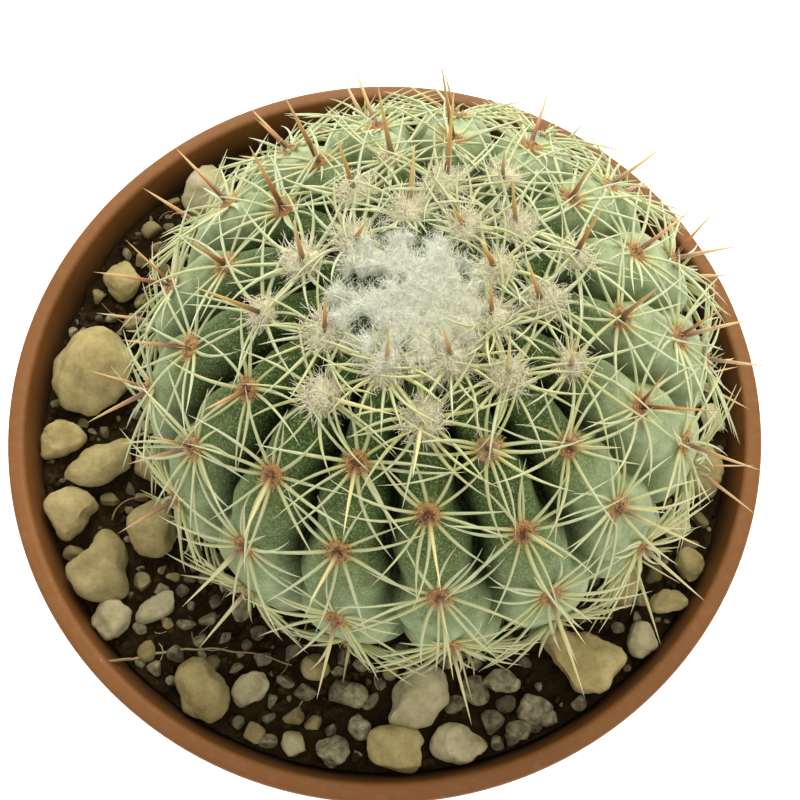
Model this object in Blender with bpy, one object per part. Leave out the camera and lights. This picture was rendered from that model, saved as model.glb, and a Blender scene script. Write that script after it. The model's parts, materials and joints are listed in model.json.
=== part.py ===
"""A round ribbed cactus growing in a small tapered pot, with its soil and loose stones.

Metres, +Z up. The origin is the centre of the pot's foot, and -Y is the front.
"""

import math
import random

import bmesh
import bpy
import numpy as np
from mathutils import Matrix, Vector, noise

# Common sizes
MM = 0.001
GAP = 0.3 * MM
TURN = 2 * math.pi

# Pot: an 85 mm nursery pot of thin plastic with a rounded lip
POT_HEIGHT = 74 * MM
LIP_RADIUS = 42.5 * MM
LIP_WIDTH = 2.0 * MM
WALL = 1.2 * MM
COLLAR_HEIGHT = 13 * MM
FOOT_RADIUS = 30 * MM
FLOOR_THICKNESS = 1.4 * MM
INNER_TOP = LIP_RADIUS - LIP_WIDTH
INNER_FOOT = FOOT_RADIUS - WALL
POT_SIDES = 44
DRAIN_HOLES = 6
DRAIN_RADIUS = 2.5 * MM
DRAIN_RING = 20 * MM

# Soil: its surface lies below the lip and is uneven
SOIL_LEVEL = POT_HEIGHT - 4.2 * MM
SOIL_ROUGHNESS = 0.9 * MM
SOIL_SIDES = 40
SOIL_RINGS = 8
GRIT_COUNT = 20
GRIT_LARGEST = 1.5 * MM

# Loose stones: x, y, length, width and height in mm, turn in degrees, tone
STONES = (
    (-33.9, 4.3, 9.2, 9.8, 6.7, 0, "tan"),
    (-37.0, -3.2, 5.2, 4.4, 3.3, 20, "tan"),
    (-32.4, -6.2, 8.5, 4.5, 4.3, 30, "tan"),
    (-35.0, -12.2, 5.6, 5.8, 4.0, 0, "tan"),
    (-31.2, -17.8, 6.6, 7.7, 5.0, 0, "tan"),
    (-29.4, -23.8, 4.2, 4.4, 3.0, 0, "pale"),
    (-24.6, -22.4, 5.5, 2.4, 2.5, 35, "pale"),
    (-19.3, -31.1, 5.9, 6.9, 4.5, 0, "tan"),
    (-14.0, -31.0, 4.3, 4.0, 2.9, 0, "pale"),
    (-7.3, -28.9, 3.7, 3.2, 2.4, 0, "tan"),
    (-3.4, -31.7, 3.7, 3.2, 2.4, 0, "grey"),
    (-2.5, -34.8, 3.2, 3.0, 2.1, 0, "grey"),
    (-9.3, -36.8, 3.2, 3.2, 2.2, 0, "pale"),
    (-5.3, -37.4, 3.7, 4.0, 2.7, 0, "grey"),
    (1.1, -37.5, 6.1, 4.7, 3.8, 0, "tan"),
    (3.5, -32.1, 6.8, 6.2, 4.6, 0, "pale"),
    (8.0, -36.7, 6.3, 4.7, 3.8, 0, "pale"),
    (12.4, -30.2, 4.2, 3.7, 2.8, 0, "grey"),
    (15.8, -33.1, 4.2, 3.7, 2.8, 0, "grey"),
    (20.9, -28.3, 10.1, 8.3, 6.4, 0, "tan"),
    (26.1, -20.4, 4.3, 6.5, 3.7, 0, "tan"),
    (30.9, -21.8, 4.4, 3.5, 2.7, 0, "tan"),
    (27.8, -25.8, 4.5, 3.8, 2.9, 0, "pale"),
    (33.6, -17.9, 3.3, 4.7, 2.8, 0, "tan"),
    (32.6, -13.6, 3.3, 3.3, 2.3, 0, "pale"),
    (36.2, -7.1, 5.4, 7.0, 4.3, 0, "tan"),
    (37.9, -0.9, 3.2, 4.0, 2.5, 0, "pale"),
    (-22.1, 28.4, 6.7, 8.6, 5.3, 0, "pale"),
    (-25.2, -7.1, 6.4, 5.6, 4.3, 0, "tan"),
    (-25.4, -13.9, 6.6, 6.6, 4.6, 0, "tan"),
    (-5.5, 35.6, 5.2, 4.1, 3.2, 15, "tan"),
    (12.8, 33.4, 6.4, 5.0, 3.9, -30, "pale"),
    (26.3, 24.4, 4.6, 5.4, 3.2, 40, "tan"),
    (-31.9, 17.0, 4.6, 5.6, 3.3, 25, "tan"),
)
STONE_RISE = 0.36

# Plant: a flattened ball with ribs, a little off the pot's axis and leaning slightly
BODY_RADIUS = 28.3 * MM
BODY_HALF_HEIGHT = 20.3 * MM
BODY_CENTRE = Vector((4.3 * MM, -0.1 * MM, POT_HEIGHT + 10.2 * MM))
LEAN_LEFT = math.radians(-1.8)
LEAN_BACK = math.radians(-0.85)
RIBS = 17
FIRST_RIB = math.radians(-87.8)
RIB_TWIST = 0.085
RIB_DEPTH = 3.5 * MM
CHIN_RISE = 0.55 * MM
WOOL_RISE = 2.0 * MM
WOOL_LUMP = 1.3 * MM
ROOT_RADIUS = 5.5 * MM
ROOT_DEPTH = 22 * MM

# Areoles: each rib's first one lies farther out than its neighbour's
AREOLE_START = 3.6 * MM
AREOLE_SHIFT = 3.7 * MM
AREOLE_SPACING = 8.2 * MM
SPACING_SLOPE = -0.1 * MM
CROWN_ARC = 7.5 * MM
LAST_ARC = 45 * MM
AREOLE_RISE = 0.5 * MM
WOOLLY_RISE = 0.7 * MM
WOOLLY_ARC = 19 * MM
AREOLE_WIDTH = 1.6 * MM

# Spines
RADIALS = 7
RADIAL_LENGTH = 7.4 * MM
RADIAL_RADIUS = 0.24 * MM
CENTRAL_LENGTH = 11 * MM
CENTRAL_RADIUS = 0.42 * MM
BACK_CENTRAL_SHARE = 0.8
ROOT_SINK = 0.5 * MM
SPINE_CLEARANCE = 0.7 * MM

COLOURS = {
    "pot": ((0.30, 0.13, 0.06), 0.55),
    "soil": ((0.020, 0.013, 0.007), 0.95),
    "cactus": ((0.10, 0.20, 0.11), 0.6),
    "tan": ((0.46, 0.38, 0.21), 0.8),
    "pale": ((0.45, 0.42, 0.32), 0.8),
    "grey": ((0.17, 0.17, 0.14), 0.8),
}


def clear_scene():
    for obj in list(bpy.data.objects):
        bpy.data.objects.remove(obj, do_unlink=True)


def material(name):
    colour, roughness = COLOURS[name]
    made = bpy.data.materials.get(name) or bpy.data.materials.new(name)
    made.use_nodes = True
    shader = made.node_tree.nodes["Principled BSDF"]
    shader.inputs["Base Color"].default_value = (*colour, 1)
    shader.inputs["Roughness"].default_value = roughness
    shader.inputs["Metallic"].default_value = 0
    return made


def add_object(name, mesh_builder, collection=None):
    """Turns a bmesh into a named object."""
    mesh = bpy.data.meshes.new(name)
    mesh_builder.to_mesh(mesh)
    mesh_builder.free()
    obj = bpy.data.objects.new(name, mesh)
    (collection or bpy.context.scene.collection).objects.link(obj)
    return obj


def helper_collection(name):
    made = bpy.data.collections.new(name)
    bpy.context.scene.collection.children.link(made)
    return made


def boolean(obj, collection, operation, solver):
    """Joins or cuts with every object of the collection, applies it and removes them."""
    modifier = obj.modifiers.new(operation.lower(), "BOOLEAN")
    modifier.operation = operation
    modifier.operand_type = "COLLECTION"
    modifier.collection = collection
    modifier.solver = solver
    graph = bpy.context.evaluated_depsgraph_get()
    result = bpy.data.meshes.new_from_object(obj.evaluated_get(graph))
    obj.modifiers.clear()
    obj.data = result
    for helper in list(collection.objects):
        bpy.data.objects.remove(helper, do_unlink=True)
    bpy.data.collections.remove(collection)


def turned(name, profile, sides, collection=None):
    """A solid of revolution from (radius, height) points, from the top centre to the bottom centre."""
    builder = bmesh.new()
    corners = [builder.verts.new((radius, 0, height)) for radius, height in profile]
    for first, second in zip(corners, corners[1:]):
        builder.edges.new((first, second))
    obj = add_object(name, builder, collection)
    screw = obj.modifiers.new("turn", "SCREW")
    screw.steps = sides
    screw.render_steps = sides
    screw.use_merge_vertices = True
    screw.merge_threshold = 0.01 * MM
    return obj


# Pot


def inner_radius(height):
    """The pot's inside wall at this height."""
    share = (height - FLOOR_THICKNESS) / (POT_HEIGHT - FLOOR_THICKNESS)
    return INNER_FOOT + (INNER_TOP - INNER_FOOT) * share


def build_pot():
    half = LIP_WIDTH / 2
    ring = LIP_RADIUS - half
    lip = []
    for step in range(7):
        around = math.pi - math.pi * step / 6
        lip.append((ring + half * math.cos(around), POT_HEIGHT - half + half * math.sin(around)))
    collar_bottom = POT_HEIGHT - COLLAR_HEIGHT
    below_collar = inner_radius(collar_bottom) + WALL
    profile = [(0, FLOOR_THICKNESS), (INNER_FOOT, FLOOR_THICKNESS)]
    profile += lip
    profile += [
        (LIP_RADIUS - 0.4 * MM, POT_HEIGHT - 2.4 * MM),
        (LIP_RADIUS - 1.3 * MM, collar_bottom + 0.5 * MM),
        (LIP_RADIUS - 1.7 * MM, collar_bottom),
        (below_collar, collar_bottom - 0.3 * MM),
        (FOOT_RADIUS, 1.0 * MM),
        (FOOT_RADIUS - 0.8 * MM, 0),
        (0, 0),
    ]
    pot = turned("pot", profile, POT_SIDES)
    pot.data.materials.append(material("pot"))
    drains = helper_collection("drains")
    for index in range(DRAIN_HOLES):
        around = TURN * (index + 0.5) / DRAIN_HOLES
        builder = bmesh.new()
        place = Matrix.Translation((DRAIN_RING * math.cos(around), DRAIN_RING * math.sin(around), 0))
        bmesh.ops.create_cone(
            builder, cap_ends=True, segments=16, radius1=DRAIN_RADIUS, radius2=DRAIN_RADIUS,
            depth=6 * FLOOR_THICKNESS, matrix=place,
        )
        add_object("drain", builder, drains)
    boolean(pot, drains, "DIFFERENCE", "EXACT")


# Stones and soil


def soil_height(x, y):
    """The soil's rolling surface, without grit."""
    broad = noise.noise(Vector((x, y, 0)) / (9 * MM))
    fine = noise.noise(Vector((x, y, 5 * MM)) / (3.5 * MM))
    return SOIL_LEVEL + SOIL_ROUGHNESS * (broad + 0.35 * fine)


def chipped_ball(rng, fineness, flats):
    """A unit ball worn into a chip: each random plane flattens one side."""
    builder = bmesh.new()
    bmesh.ops.create_icosphere(builder, subdivisions=fineness, radius=1.0)
    planes = []
    for _ in range(flats):
        normal = Vector([rng.gauss(0, 1) for _ in range(3)]).normalized()
        planes.append((normal, rng.uniform(0.70, 0.92)))
    for vertex in builder.verts:
        for normal, reach in planes:
            beyond = vertex.co.dot(normal) - reach
            if beyond > 0:
                vertex.co -= 0.92 * beyond * normal
    return builder


def place_stone(index, name, builder, margin, collection=None):
    """Sizes a unit ball to a stone, grown by the margin on every side, and puts it on the soil."""
    x, y, length, width, height, turn, _ = STONES[index]
    half = [side * MM / 2 + margin for side in (length, width, height)]
    bmesh.ops.scale(builder, vec=half, verts=builder.verts)
    obj = add_object(name, builder, collection)
    obj.location = (x * MM, y * MM, soil_height(x * MM, y * MM) + STONE_RISE * height * MM)
    obj.rotation_euler = (0, 0, math.radians(turn))
    return obj


def chips(index):
    fineness = 2 if max(STONES[index][2:4]) > 3.9 else 1
    return chipped_ball(random.Random(300 + index), fineness, 9)


def build_stones():
    for index, (*_, tone) in enumerate(STONES):
        stone = place_stone(index, f"stone_{index + 1:02d}", chips(index), 0.15 * MM)
        stone.data.materials.append(material(tone))


def add_stone_seat(index, collection):
    """The dent under a stone: its own form for the largest, and a plain hollow for a small one."""
    if max(STONES[index][2:4]) > 6.4:
        place_stone(index, "seat", chips(index), 0.15 * MM + GAP, collection)
        return
    builder = bmesh.new()
    bmesh.ops.create_icosphere(builder, subdivisions=1, radius=1.12)
    place_stone(index, "seat", builder, GAP, collection)


def clear_of_stones(x, y, radius):
    for stone_x, stone_y, length, width, *_ in STONES:
        reach = max(length, width) * MM / 2 + radius
        if math.hypot(x - stone_x * MM, y - stone_y * MM) < reach:
            return False
    return True


def add_grit(collection):
    """Fine grit that is part of the soil's surface, in the gaps that the stones leave."""
    rng = random.Random(11)
    placed = []
    while len(placed) < GRIT_COUNT:
        away = rng.uniform(15, 36.5) * MM
        around = rng.uniform(0, TURN)
        x, y = away * math.cos(around), away * math.sin(around)
        radius = rng.uniform(0.7 * MM, GRIT_LARGEST)
        near = any(math.hypot(x - a, y - b) < radius + c + 0.2 * MM for a, b, c in placed)
        if near or not clear_of_stones(x, y, radius + 0.6 * MM):
            continue
        placed.append((x, y, radius))
        builder = bmesh.new()
        bmesh.ops.create_icosphere(builder, subdivisions=1, radius=radius)
        grain = add_object("grit", builder, collection)
        grain.location = (x, y, soil_height(x, y) + 0.15 * radius)
        grain.rotation_euler = [rng.uniform(0, TURN) for _ in range(3)]
        grain.scale = (1, rng.uniform(0.7, 1), rng.uniform(0.6, 0.9))


def build_soil():
    builder = bmesh.new()
    bottom_height = FLOOR_THICKNESS + GAP
    rings = []
    for ring in range(1, SOIL_RINGS + 1):
        row = []
        for side in range(SOIL_SIDES):
            around = TURN * side / SOIL_SIDES
            outer = inner_radius(SOIL_LEVEL) - GAP - 0.25 * MM
            away = outer * (ring / SOIL_RINGS) ** 0.8
            x, y = away * math.cos(around), away * math.sin(around)
            height = soil_height(x, y)
            if ring == SOIL_RINGS:
                height = SOIL_LEVEL
            row.append(builder.verts.new((x, y, height)))
        rings.append(row)
    foot = []
    for side in range(SOIL_SIDES):
        around = TURN * side / SOIL_SIDES
        away = inner_radius(bottom_height) - GAP
        foot.append(builder.verts.new((away * math.cos(around), away * math.sin(around), bottom_height)))
    rings.append(foot)
    for inner, outer in zip(rings, rings[1:]):
        for side in range(SOIL_SIDES):
            after = (side + 1) % SOIL_SIDES
            builder.faces.new((inner[side], outer[side], outer[after], inner[after]))
    builder.faces.new(rings[0])
    builder.faces.new(list(reversed(foot)))
    soil = add_object("soil", builder)
    soil.data.materials.append(material("soil"))
    grit = helper_collection("grit")
    add_grit(grit)
    boolean(soil, grit, "UNION", "MANIFOLD")
    seats = helper_collection("seats")
    for index in range(len(STONES)):
        add_stone_seat(index, seats)
    add_plant_seat(seats)
    boolean(soil, seats, "DIFFERENCE", "MANIFOLD")


# Plant


ANGLES = np.linspace(0, math.pi, 721)
ARCS = np.concatenate(
    (
        [0],
        np.cumsum(
            np.hypot(
                np.diff(BODY_RADIUS * np.sin(ANGLES)),
                np.diff(BODY_HALF_HEIGHT * np.cos(ANGLES)),
            )
        ),
    )
)
FOOT_ARC = float(ARCS[-1])


def plant_place():
    lean = Matrix.Rotation(LEAN_BACK, 4, "X") @ Matrix.Rotation(LEAN_LEFT, 4, "Y")
    return Matrix.Translation(BODY_CENTRE) @ lean


def crest_frame(rib, arc):
    """A point on a rib's crest, with its outward, downward and sideways directions. The rib may be a fraction."""
    angle = float(np.interp(arc, ARCS, ANGLES))
    around = FIRST_RIB + rib * TURN / RIBS + RIB_TWIST * (angle - 1)
    outward = Vector((math.cos(around), math.sin(around), 0))
    up = Vector((0, 0, 1))
    point = BODY_RADIUS * math.sin(angle) * outward + BODY_HALF_HEIGHT * math.cos(angle) * up
    normal = (math.sin(angle) / BODY_RADIUS * outward + math.cos(angle) / BODY_HALF_HEIGHT * up).normalized()
    down = (math.cos(angle) * BODY_RADIUS * outward - math.sin(angle) * BODY_HALF_HEIGHT * up).normalized()
    return point, normal, down, normal.cross(down)


def rib_number(index):
    """Ribs counted from the front one, so that the rule's seam is at the back."""
    return index if index <= 10 else index - RIBS


def areole_arcs(index):
    """Where the areoles sit along this rib, as distances from the crown."""
    number = rib_number(index)
    spacing = AREOLE_SPACING + SPACING_SLOPE * number
    arc = (AREOLE_START + AREOLE_SHIFT * number) % spacing
    arcs = []
    while arc <= LAST_ARC:
        if arc >= CROWN_ARC:
            arcs.append(arc)
        arc += spacing
    return arcs


def smooth(value, low, high):
    share = min(max((value - low) / (high - low), 0), 1)
    return share * share * (3 - 2 * share)


def below_areole(index, arc):
    """How far this place is below the nearest areole above it, and the spacing to the next one."""
    number = rib_number(index)
    spacing = AREOLE_SPACING + SPACING_SLOPE * number
    return (arc - AREOLE_START - AREOLE_SHIFT * number) % spacing, spacing


def skin_drop(index, across, arc):
    """How far the skin lies below the crest line: across is 0 on the crest and 1 in the valley."""
    angle = float(np.interp(arc, ARCS, ANGLES))
    below, spacing = below_areole(index, arc)
    swelling = math.sin(math.pi * (below / spacing) ** 0.85) ** 1.2
    cushion = math.exp(-((min(below, spacing - below) / AREOLE_WIDTH) ** 2))
    fade = smooth(arc, 3 * MM, 10 * MM) * smooth(FOOT_ARC - arc, 6 * MM, 18 * MM)
    depth = min(RIB_DEPTH, 0.30 * BODY_RADIUS * math.sin(angle)) * fade
    felt = AREOLE_RISE + WOOLLY_RISE * (1 - smooth(arc, WOOLLY_ARC - 5 * MM, WOOLLY_ARC))
    rise = CHIN_RISE * swelling * (1 - across**2) + felt * cushion * (1 - across) ** 2
    return depth * across ** (2.5 + 1.2 * swelling) - rise * fade


def wool_rise(point, arc):
    """The uneven wool that covers the crown."""
    lumps = 0.4 + 1.2 * noise.noise(point / WOOL_LUMP)
    return WOOL_RISE * lumps * (1 - smooth(arc, 6 * MM, 11 * MM))


def skin_point(rib, arc):
    index = round(rib)
    point, normal, _, _ = crest_frame(rib, arc)
    drop = skin_drop(index % RIBS, min(1, abs(rib - index) * 2), arc)
    return point + (wool_rise(point, arc) - drop) * normal


def row_arcs():
    """Arc distances of the skin's rows, closer together where the areoles are."""
    foot = FOOT_ARC - ROOT_RADIUS
    rows = [1.5 * MM]
    while rows[-1] < foot - 6 * MM:
        wool, ribs = rows[-1] < 7 * MM, rows[-1] < LAST_ARC
        rows.append(rows[-1] + (1.5 * MM if wool else 2.5 * MM if ribs else 6 * MM))
    return rows + [foot]


def build_skin():
    """The ribbed body with its root neck, as one closed surface."""
    builder = bmesh.new()
    steps = (-0.5, -0.31, 0, 0.31)
    columns = [index + step for index in range(RIBS) for step in steps]
    rows = []
    for arc in row_arcs():
        rows.append([builder.verts.new(skin_point(column, arc)) for column in columns])
    for reach, depth in ((1.0, 0.4), (0.72, 0.75), (0.3, 1.0)):
        row = []
        for column in columns:
            around = FIRST_RIB + column * TURN / RIBS + RIB_TWIST * (math.pi - 1)
            radius = ROOT_RADIUS * reach
            height = -BODY_HALF_HEIGHT - ROOT_DEPTH * depth
            row.append(builder.verts.new((radius * math.cos(around), radius * math.sin(around), height)))
        rows.append(row)
    count = len(columns)
    for upper, lower in zip(rows, rows[1:]):
        for side in range(count):
            after = (side + 1) % count
            builder.faces.new((upper[side], lower[side], lower[after], upper[after]))
    crown = builder.verts.new((0, 0, BODY_HALF_HEIGHT))
    tip = builder.verts.new((0, 0, -BODY_HALF_HEIGHT - ROOT_DEPTH))
    for side in range(count):
        after = (side + 1) % count
        builder.faces.new((crown, rows[0][side], rows[0][after]))
        builder.faces.new((tip, rows[-1][after], rows[-1][side]))
    skin = add_object("cactus", builder)
    skin.matrix_world = plant_place()
    skin.data.materials.append(material("cactus"))
    return skin


def add_plant_seat(collection):
    """The hole in the soil: the foot of the body and its root neck, a little larger."""
    margin = GAP + CHIN_RISE
    profile = [(0, 0)]
    for step in range(9):
        angle = math.pi / 2 + (math.pi / 2 - 0.2) * step / 8
        radius = (BODY_RADIUS + margin) * math.sin(angle)
        if step == 8:
            radius = max(radius, ROOT_RADIUS + margin)
        profile.append((radius, (BODY_HALF_HEIGHT + margin) * math.cos(angle)))
    for reach, depth in ((1.0, 0.4), (0.72, 0.75), (0.3, 1.0)):
        profile.append((ROOT_RADIUS * reach + margin, -BODY_HALF_HEIGHT - ROOT_DEPTH * depth))
    profile.append((0, -BODY_HALF_HEIGHT - ROOT_DEPTH - margin))
    seat = turned("plant_seat", profile, 20, collection)
    seat.matrix_world = plant_place()


def highest_below(x, y):
    """The top of what lies under this place: soil, a stone or the pot's lip."""
    if math.hypot(x, y) > INNER_TOP - 1.5 * MM:
        return POT_HEIGHT
    for stone_x, stone_y, length, width, height, *_ in STONES:
        if math.hypot(x - stone_x * MM, y - stone_y * MM) < max(length, width) * MM / 2 + 0.6 * MM:
            return SOIL_LEVEL + SOIL_ROUGHNESS + (STONE_RISE + 0.5) * height * MM
    return SOIL_LEVEL + SOIL_ROUGHNESS + GRIT_LARGEST


def add_needle(collection, place, root, direction, length, radius):
    """A three-sided spine from a root sunk in the rib, lifted where it would meet a stone or the lip."""
    start = place @ root
    tip = place @ (root + direction * length)
    lift = 0
    for share in (0.4, 0.6, 0.8, 1):
        at = start.lerp(tip, share)
        lift = max(lift, (highest_below(at.x, at.y) + SPINE_CLEARANCE - at.z) / share)
    tip.z += lift
    way = tip - start
    builder = bmesh.new()
    bmesh.ops.create_cone(
        builder, cap_ends=True, segments=3, radius1=radius, radius2=0, depth=way.length,
        matrix=Matrix.Translation((0, 0, way.length / 2)),
    )
    needle = add_object("needle", builder, collection)
    needle.matrix_world = Matrix.Translation(start) @ way.to_track_quat("Z", "Y").to_matrix().to_4x4()


def central_slope(arc):
    """How far a central spine leans down the rib: towards the crown at the top, outward lower down."""
    return math.radians(min(60, max(-20, -20 + 3.5 * (arc / MM - 9))))


def add_spines(collection):
    rng = random.Random(8)
    place = plant_place()
    for index in range(RIBS):
        for arc in areole_arcs(index):
            point, normal, down, side = crest_frame(index, arc)
            for count in range(RADIALS):
                around = TURN * count / RADIALS
                rise = math.radians(rng.uniform(18, 30))
                spread = math.cos(around) * down + math.sin(around) * side
                direction = math.cos(rise) * spread + math.sin(rise) * normal
                root = point - ROOT_SINK * normal
                add_needle(
                    collection, place, root, direction,
                    RADIAL_LENGTH * rng.uniform(0.9, 1.1), RADIAL_RADIUS,
                )
            slope = central_slope(arc)
            sway = math.radians(rng.uniform(-12, 12))
            upright = math.cos(sway) * normal + math.sin(sway) * side
            direction = math.cos(slope) * upright + math.sin(slope) * down
            length = CENTRAL_LENGTH * rng.uniform(0.88, 1.06)
            if abs(rib_number(index)) > 5:
                length *= BACK_CENTRAL_SHARE
            add_needle(collection, place, point - ROOT_SINK * normal, direction, length, CENTRAL_RADIUS)


def build_cactus():
    cactus = build_skin()
    growth = helper_collection("growth")
    add_spines(growth)
    boolean(cactus, growth, "UNION", "MANIFOLD")


def main():
    clear_scene()
    build_pot()
    build_soil()
    build_stones()
    build_cactus()


main()
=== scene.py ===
"""Looks of a round ribbed cactus in its small pot: fine skin, spines, wool, soil, grit and stones.

Metres, +Z up. -Y is the front, and the origin is the centre of the pot's foot.
"""

import json
import math

import bmesh
import bpy
import numpy as np
from mathutils import Matrix, Vector, noise


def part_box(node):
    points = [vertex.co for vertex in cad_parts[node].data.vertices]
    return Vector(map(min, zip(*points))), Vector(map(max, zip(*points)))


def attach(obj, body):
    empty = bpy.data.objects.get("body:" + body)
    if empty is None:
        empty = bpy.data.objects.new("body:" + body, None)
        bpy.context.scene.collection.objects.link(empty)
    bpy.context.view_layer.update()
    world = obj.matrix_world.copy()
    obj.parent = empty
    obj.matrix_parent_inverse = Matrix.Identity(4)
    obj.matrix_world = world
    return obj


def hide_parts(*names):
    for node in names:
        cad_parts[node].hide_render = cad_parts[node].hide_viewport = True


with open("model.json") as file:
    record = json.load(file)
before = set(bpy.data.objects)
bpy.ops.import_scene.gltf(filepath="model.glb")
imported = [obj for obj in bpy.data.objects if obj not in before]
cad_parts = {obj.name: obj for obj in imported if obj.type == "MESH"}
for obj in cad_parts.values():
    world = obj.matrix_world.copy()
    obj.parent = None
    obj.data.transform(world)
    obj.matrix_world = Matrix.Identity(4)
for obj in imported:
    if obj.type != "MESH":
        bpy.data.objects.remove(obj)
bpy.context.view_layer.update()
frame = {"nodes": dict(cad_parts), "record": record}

MM = 0.001
TURN = 2 * math.pi
GAP = 0.3 * MM
WHITE = (1, 1, 1)

# Daylight from a bright room, stronger at the back
DAYLIGHT = (1.0, 0.97, 0.82)
ROOM_COLOUR = (1.0, 0.97, 0.86, 1)
DIM_FRONT = 0.40
BRIGHT_BACK = 0.78
LAMP_WIDTH = 0.50
WINDOW_PLACE = (0.04, 0.42, 0.46)
WINDOW_POWER = 3.3
CEILING_PLACE = (0.16, -0.16, 0.60)
CEILING_POWER = 1.0
FLOOR_REACH = 1.5

# Camera, above and in front of the pot
CAMERA_ELEVATION = math.radians(70.62)
CAMERA_DISTANCE = 124.2 * MM
CAMERA_RIGHT = 1.72 * MM
CAMERA_UP = 0.35 * MM
CAMERA_VIEW = math.radians(40)
SENSOR_WIDTH = 36
NEAREST_SEEN = 1 * MM
HALF_PHOTO = 400

# Seeds of the random draws
SEEDS = {
    "centrals": 8, "radials": 21, "bristles": 31, "tufts": 32, "crown": 33, "grains": 41, "dry root": 55,
    "fibres": 56, "stones": 500,
}

# Pot
POT_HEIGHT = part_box("pot")[1].z
LIP_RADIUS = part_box("pot")[1].x
LIP_WIDTH = 2.0 * MM
LIP_SQUARENESS = 0.6
WALL = 1.2 * MM
COLLAR_HEIGHT = 13 * MM
FOOT_RADIUS = 30 * MM
FLOOR_THICKNESS = 1.4 * MM
INNER_TOP = LIP_RADIUS - LIP_WIDTH
INNER_FOOT = FOOT_RADIUS - WALL
DRAIN_HOLES = 6
DRAIN_RADIUS = 2.5 * MM
DRAIN_RING = 20 * MM
DRAIN_SIDES = 40
SHARP_EDGE = math.radians(40)
# Depths below the lip over which soil dust and painted shade come to darken the inner wall
DUST_AND_SHADE_WALL = 0.8 * MM, 2.6 * MM
POT_SIDES = 180
INNER_ROWS = 24
LIP_ROWS = 32
WALL_ROWS = 15
POLE_RADIUS = 0.6 * MM

# The pot's edges in mm: insets from the lip's or the foot's radius, and rises from the lip, the collar's
# edge or the foot
UNDER_LIP = ((0.12, -1.7), (0.4, -2.1), (0.5, -2.6), (0.9, -7))
COLLAR_EDGE = ((1.3, 0.7), (1.42, 0.25), (1.75, 0))
FOOT_EDGE = ((0.15, 0.5), (0.45, 0.12), (0.8, 0))

# Soil
SOIL_LEVEL = POT_HEIGHT - 4.2 * MM
SOIL_ROUGHNESS = 0.9 * MM
SOIL_SIDES = 240
SOIL_RINGS = 70
SOIL_LUMPS = 0.9 * MM
SOIL_CRUMBS = 0.5 * MM
SOIL_TOP = SOIL_LEVEL + 0.6 * SOIL_ROUGHNESS
SEAT_MARGIN = GAP + 0.55 * MM
PLANT_MARGIN = 21.5 * MM
LIP_MARGIN = 0.8 * MM

# Plant's body
BODY_RADIUS = 28.3 * MM
BODY_HALF_HEIGHT = 20.3 * MM
BODY_CENTRE = Vector((4.3 * MM, -0.1 * MM, POT_HEIGHT + 10.2 * MM))
LEAN_LEFT = math.radians(-1.8)
LEAN_BACK = math.radians(-0.85)
RIBS = 17
FRONT_RIBS = 10
FIRST_RIB = math.radians(-87.8)
RIB_TWIST = 0.085
RIB_DEPTH = 4.6 * MM
RIB_BREADTH = 3.6
LOW_RIB_DEPTH = 0.55
LOW_RIBS = 24 * MM, 37 * MM
CROWN_FADE = 3 * MM, 10 * MM
FOOT_FADE = 6 * MM, 18 * MM
CHIN_RISE = 0.35 * MM
AREOLE_RISE = 0.35 * MM
AREOLE_WIDTH = 1.3 * MM
VALLEY_SWAY = 0.05
SKIN_LUMPS = 0.12 * MM
# Painted light: how much paler the skin is made towards the back and the right, and the arcs over which it
# grows
PAINTED_LIGHT_PALING = 0.53
PAINTED_LIGHT_ARCS = 8.5 * MM, 25 * MM
ROOT_RADIUS = 5.5 * MM
ROOT_DEPTH = 22 * MM
ROOT_OUTLINE = ((1.0, 0.4), (0.72, 0.75), (0.3, 1.0))
RIB_COLUMNS = 26
SKIN_ROWS = 200

# Areoles, by their arc: the way over the skin from the crown's middle
AREOLE_START = 3.6 * MM
AREOLE_SHIFT = 3.7 * MM
AREOLE_SPACING = 8.2 * MM
SPACING_SLOPE = -0.1 * MM
MOST_ON_RIB = 8
FIRST_ARC = 6.2 * MM
INNER_ARC = 12 * MM
WOOLLY_ARC = 17.5 * MM
LOW_ARC = 25 * MM
LOWEST_ARC = 34 * MM
LAST_ARC = 45 * MM
WOOL_WEARS = 13.6 * MM, 15.9 * MM

# Radial spines: how many more there are between two arcs, and their rise from the skin in degrees
RADIALS = 12
MORE_RADIALS = ((0, INNER_ARC, 3), (0, WOOLLY_ARC, 2), (LOW_ARC, LAST_ARC, 4), (LOWEST_ARC, LAST_ARC, 3))
RADIAL_LENGTH = 7.9 * MM
RADIAL_RISE = 10, 26
YOUNG_RISE = 20
RADIAL_ROOT = 0.7 * MM
RADIAL_RADIUS = 0.178 * MM
RADIAL_STEPS = 9
RADIAL_SIDES = 7
STOUTER = 1.08
SPINE_ROOT_RISE = 0.1 * MM
SPINE_CLEARANCE = 0.4 * MM

# Central spines, some with a twin below them. Their slope down the rib is in degrees, and grows from an
# arc in mm
CENTRAL_LENGTH = 11 * MM
CENTRAL_RADIUS = 0.29 * MM
CENTRAL_STEPS = 12
CENTRAL_SIDES = 9
CENTRAL_SLOPES = -20, 60
SLOPE_FROM = 9
SLOPE_PER_MM = 3.5
BACK_CENTRAL_SHARE = 0.8
LONGEST_SHARE = 1.35
TWIN_CHANCE = 0.35
TWIN_SLOPE = math.radians(-55)
TWIN_LENGTH = 0.6
TWIN_RADIUS = 0.7

# Felt and hairs on the areoles, whose foot lies a little above the skin
FELT_RISE = 0.15 * MM
FELT_ROWS = 13
FELT_COLUMNS = 26
BRISTLES = 190
BRISTLE_LENGTH = 0.62 * MM
TUFT_HAIRS = 340
TUFT_LENGTH = 1.25 * MM
HAIR_RADIUS = 0.048 * MM

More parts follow.
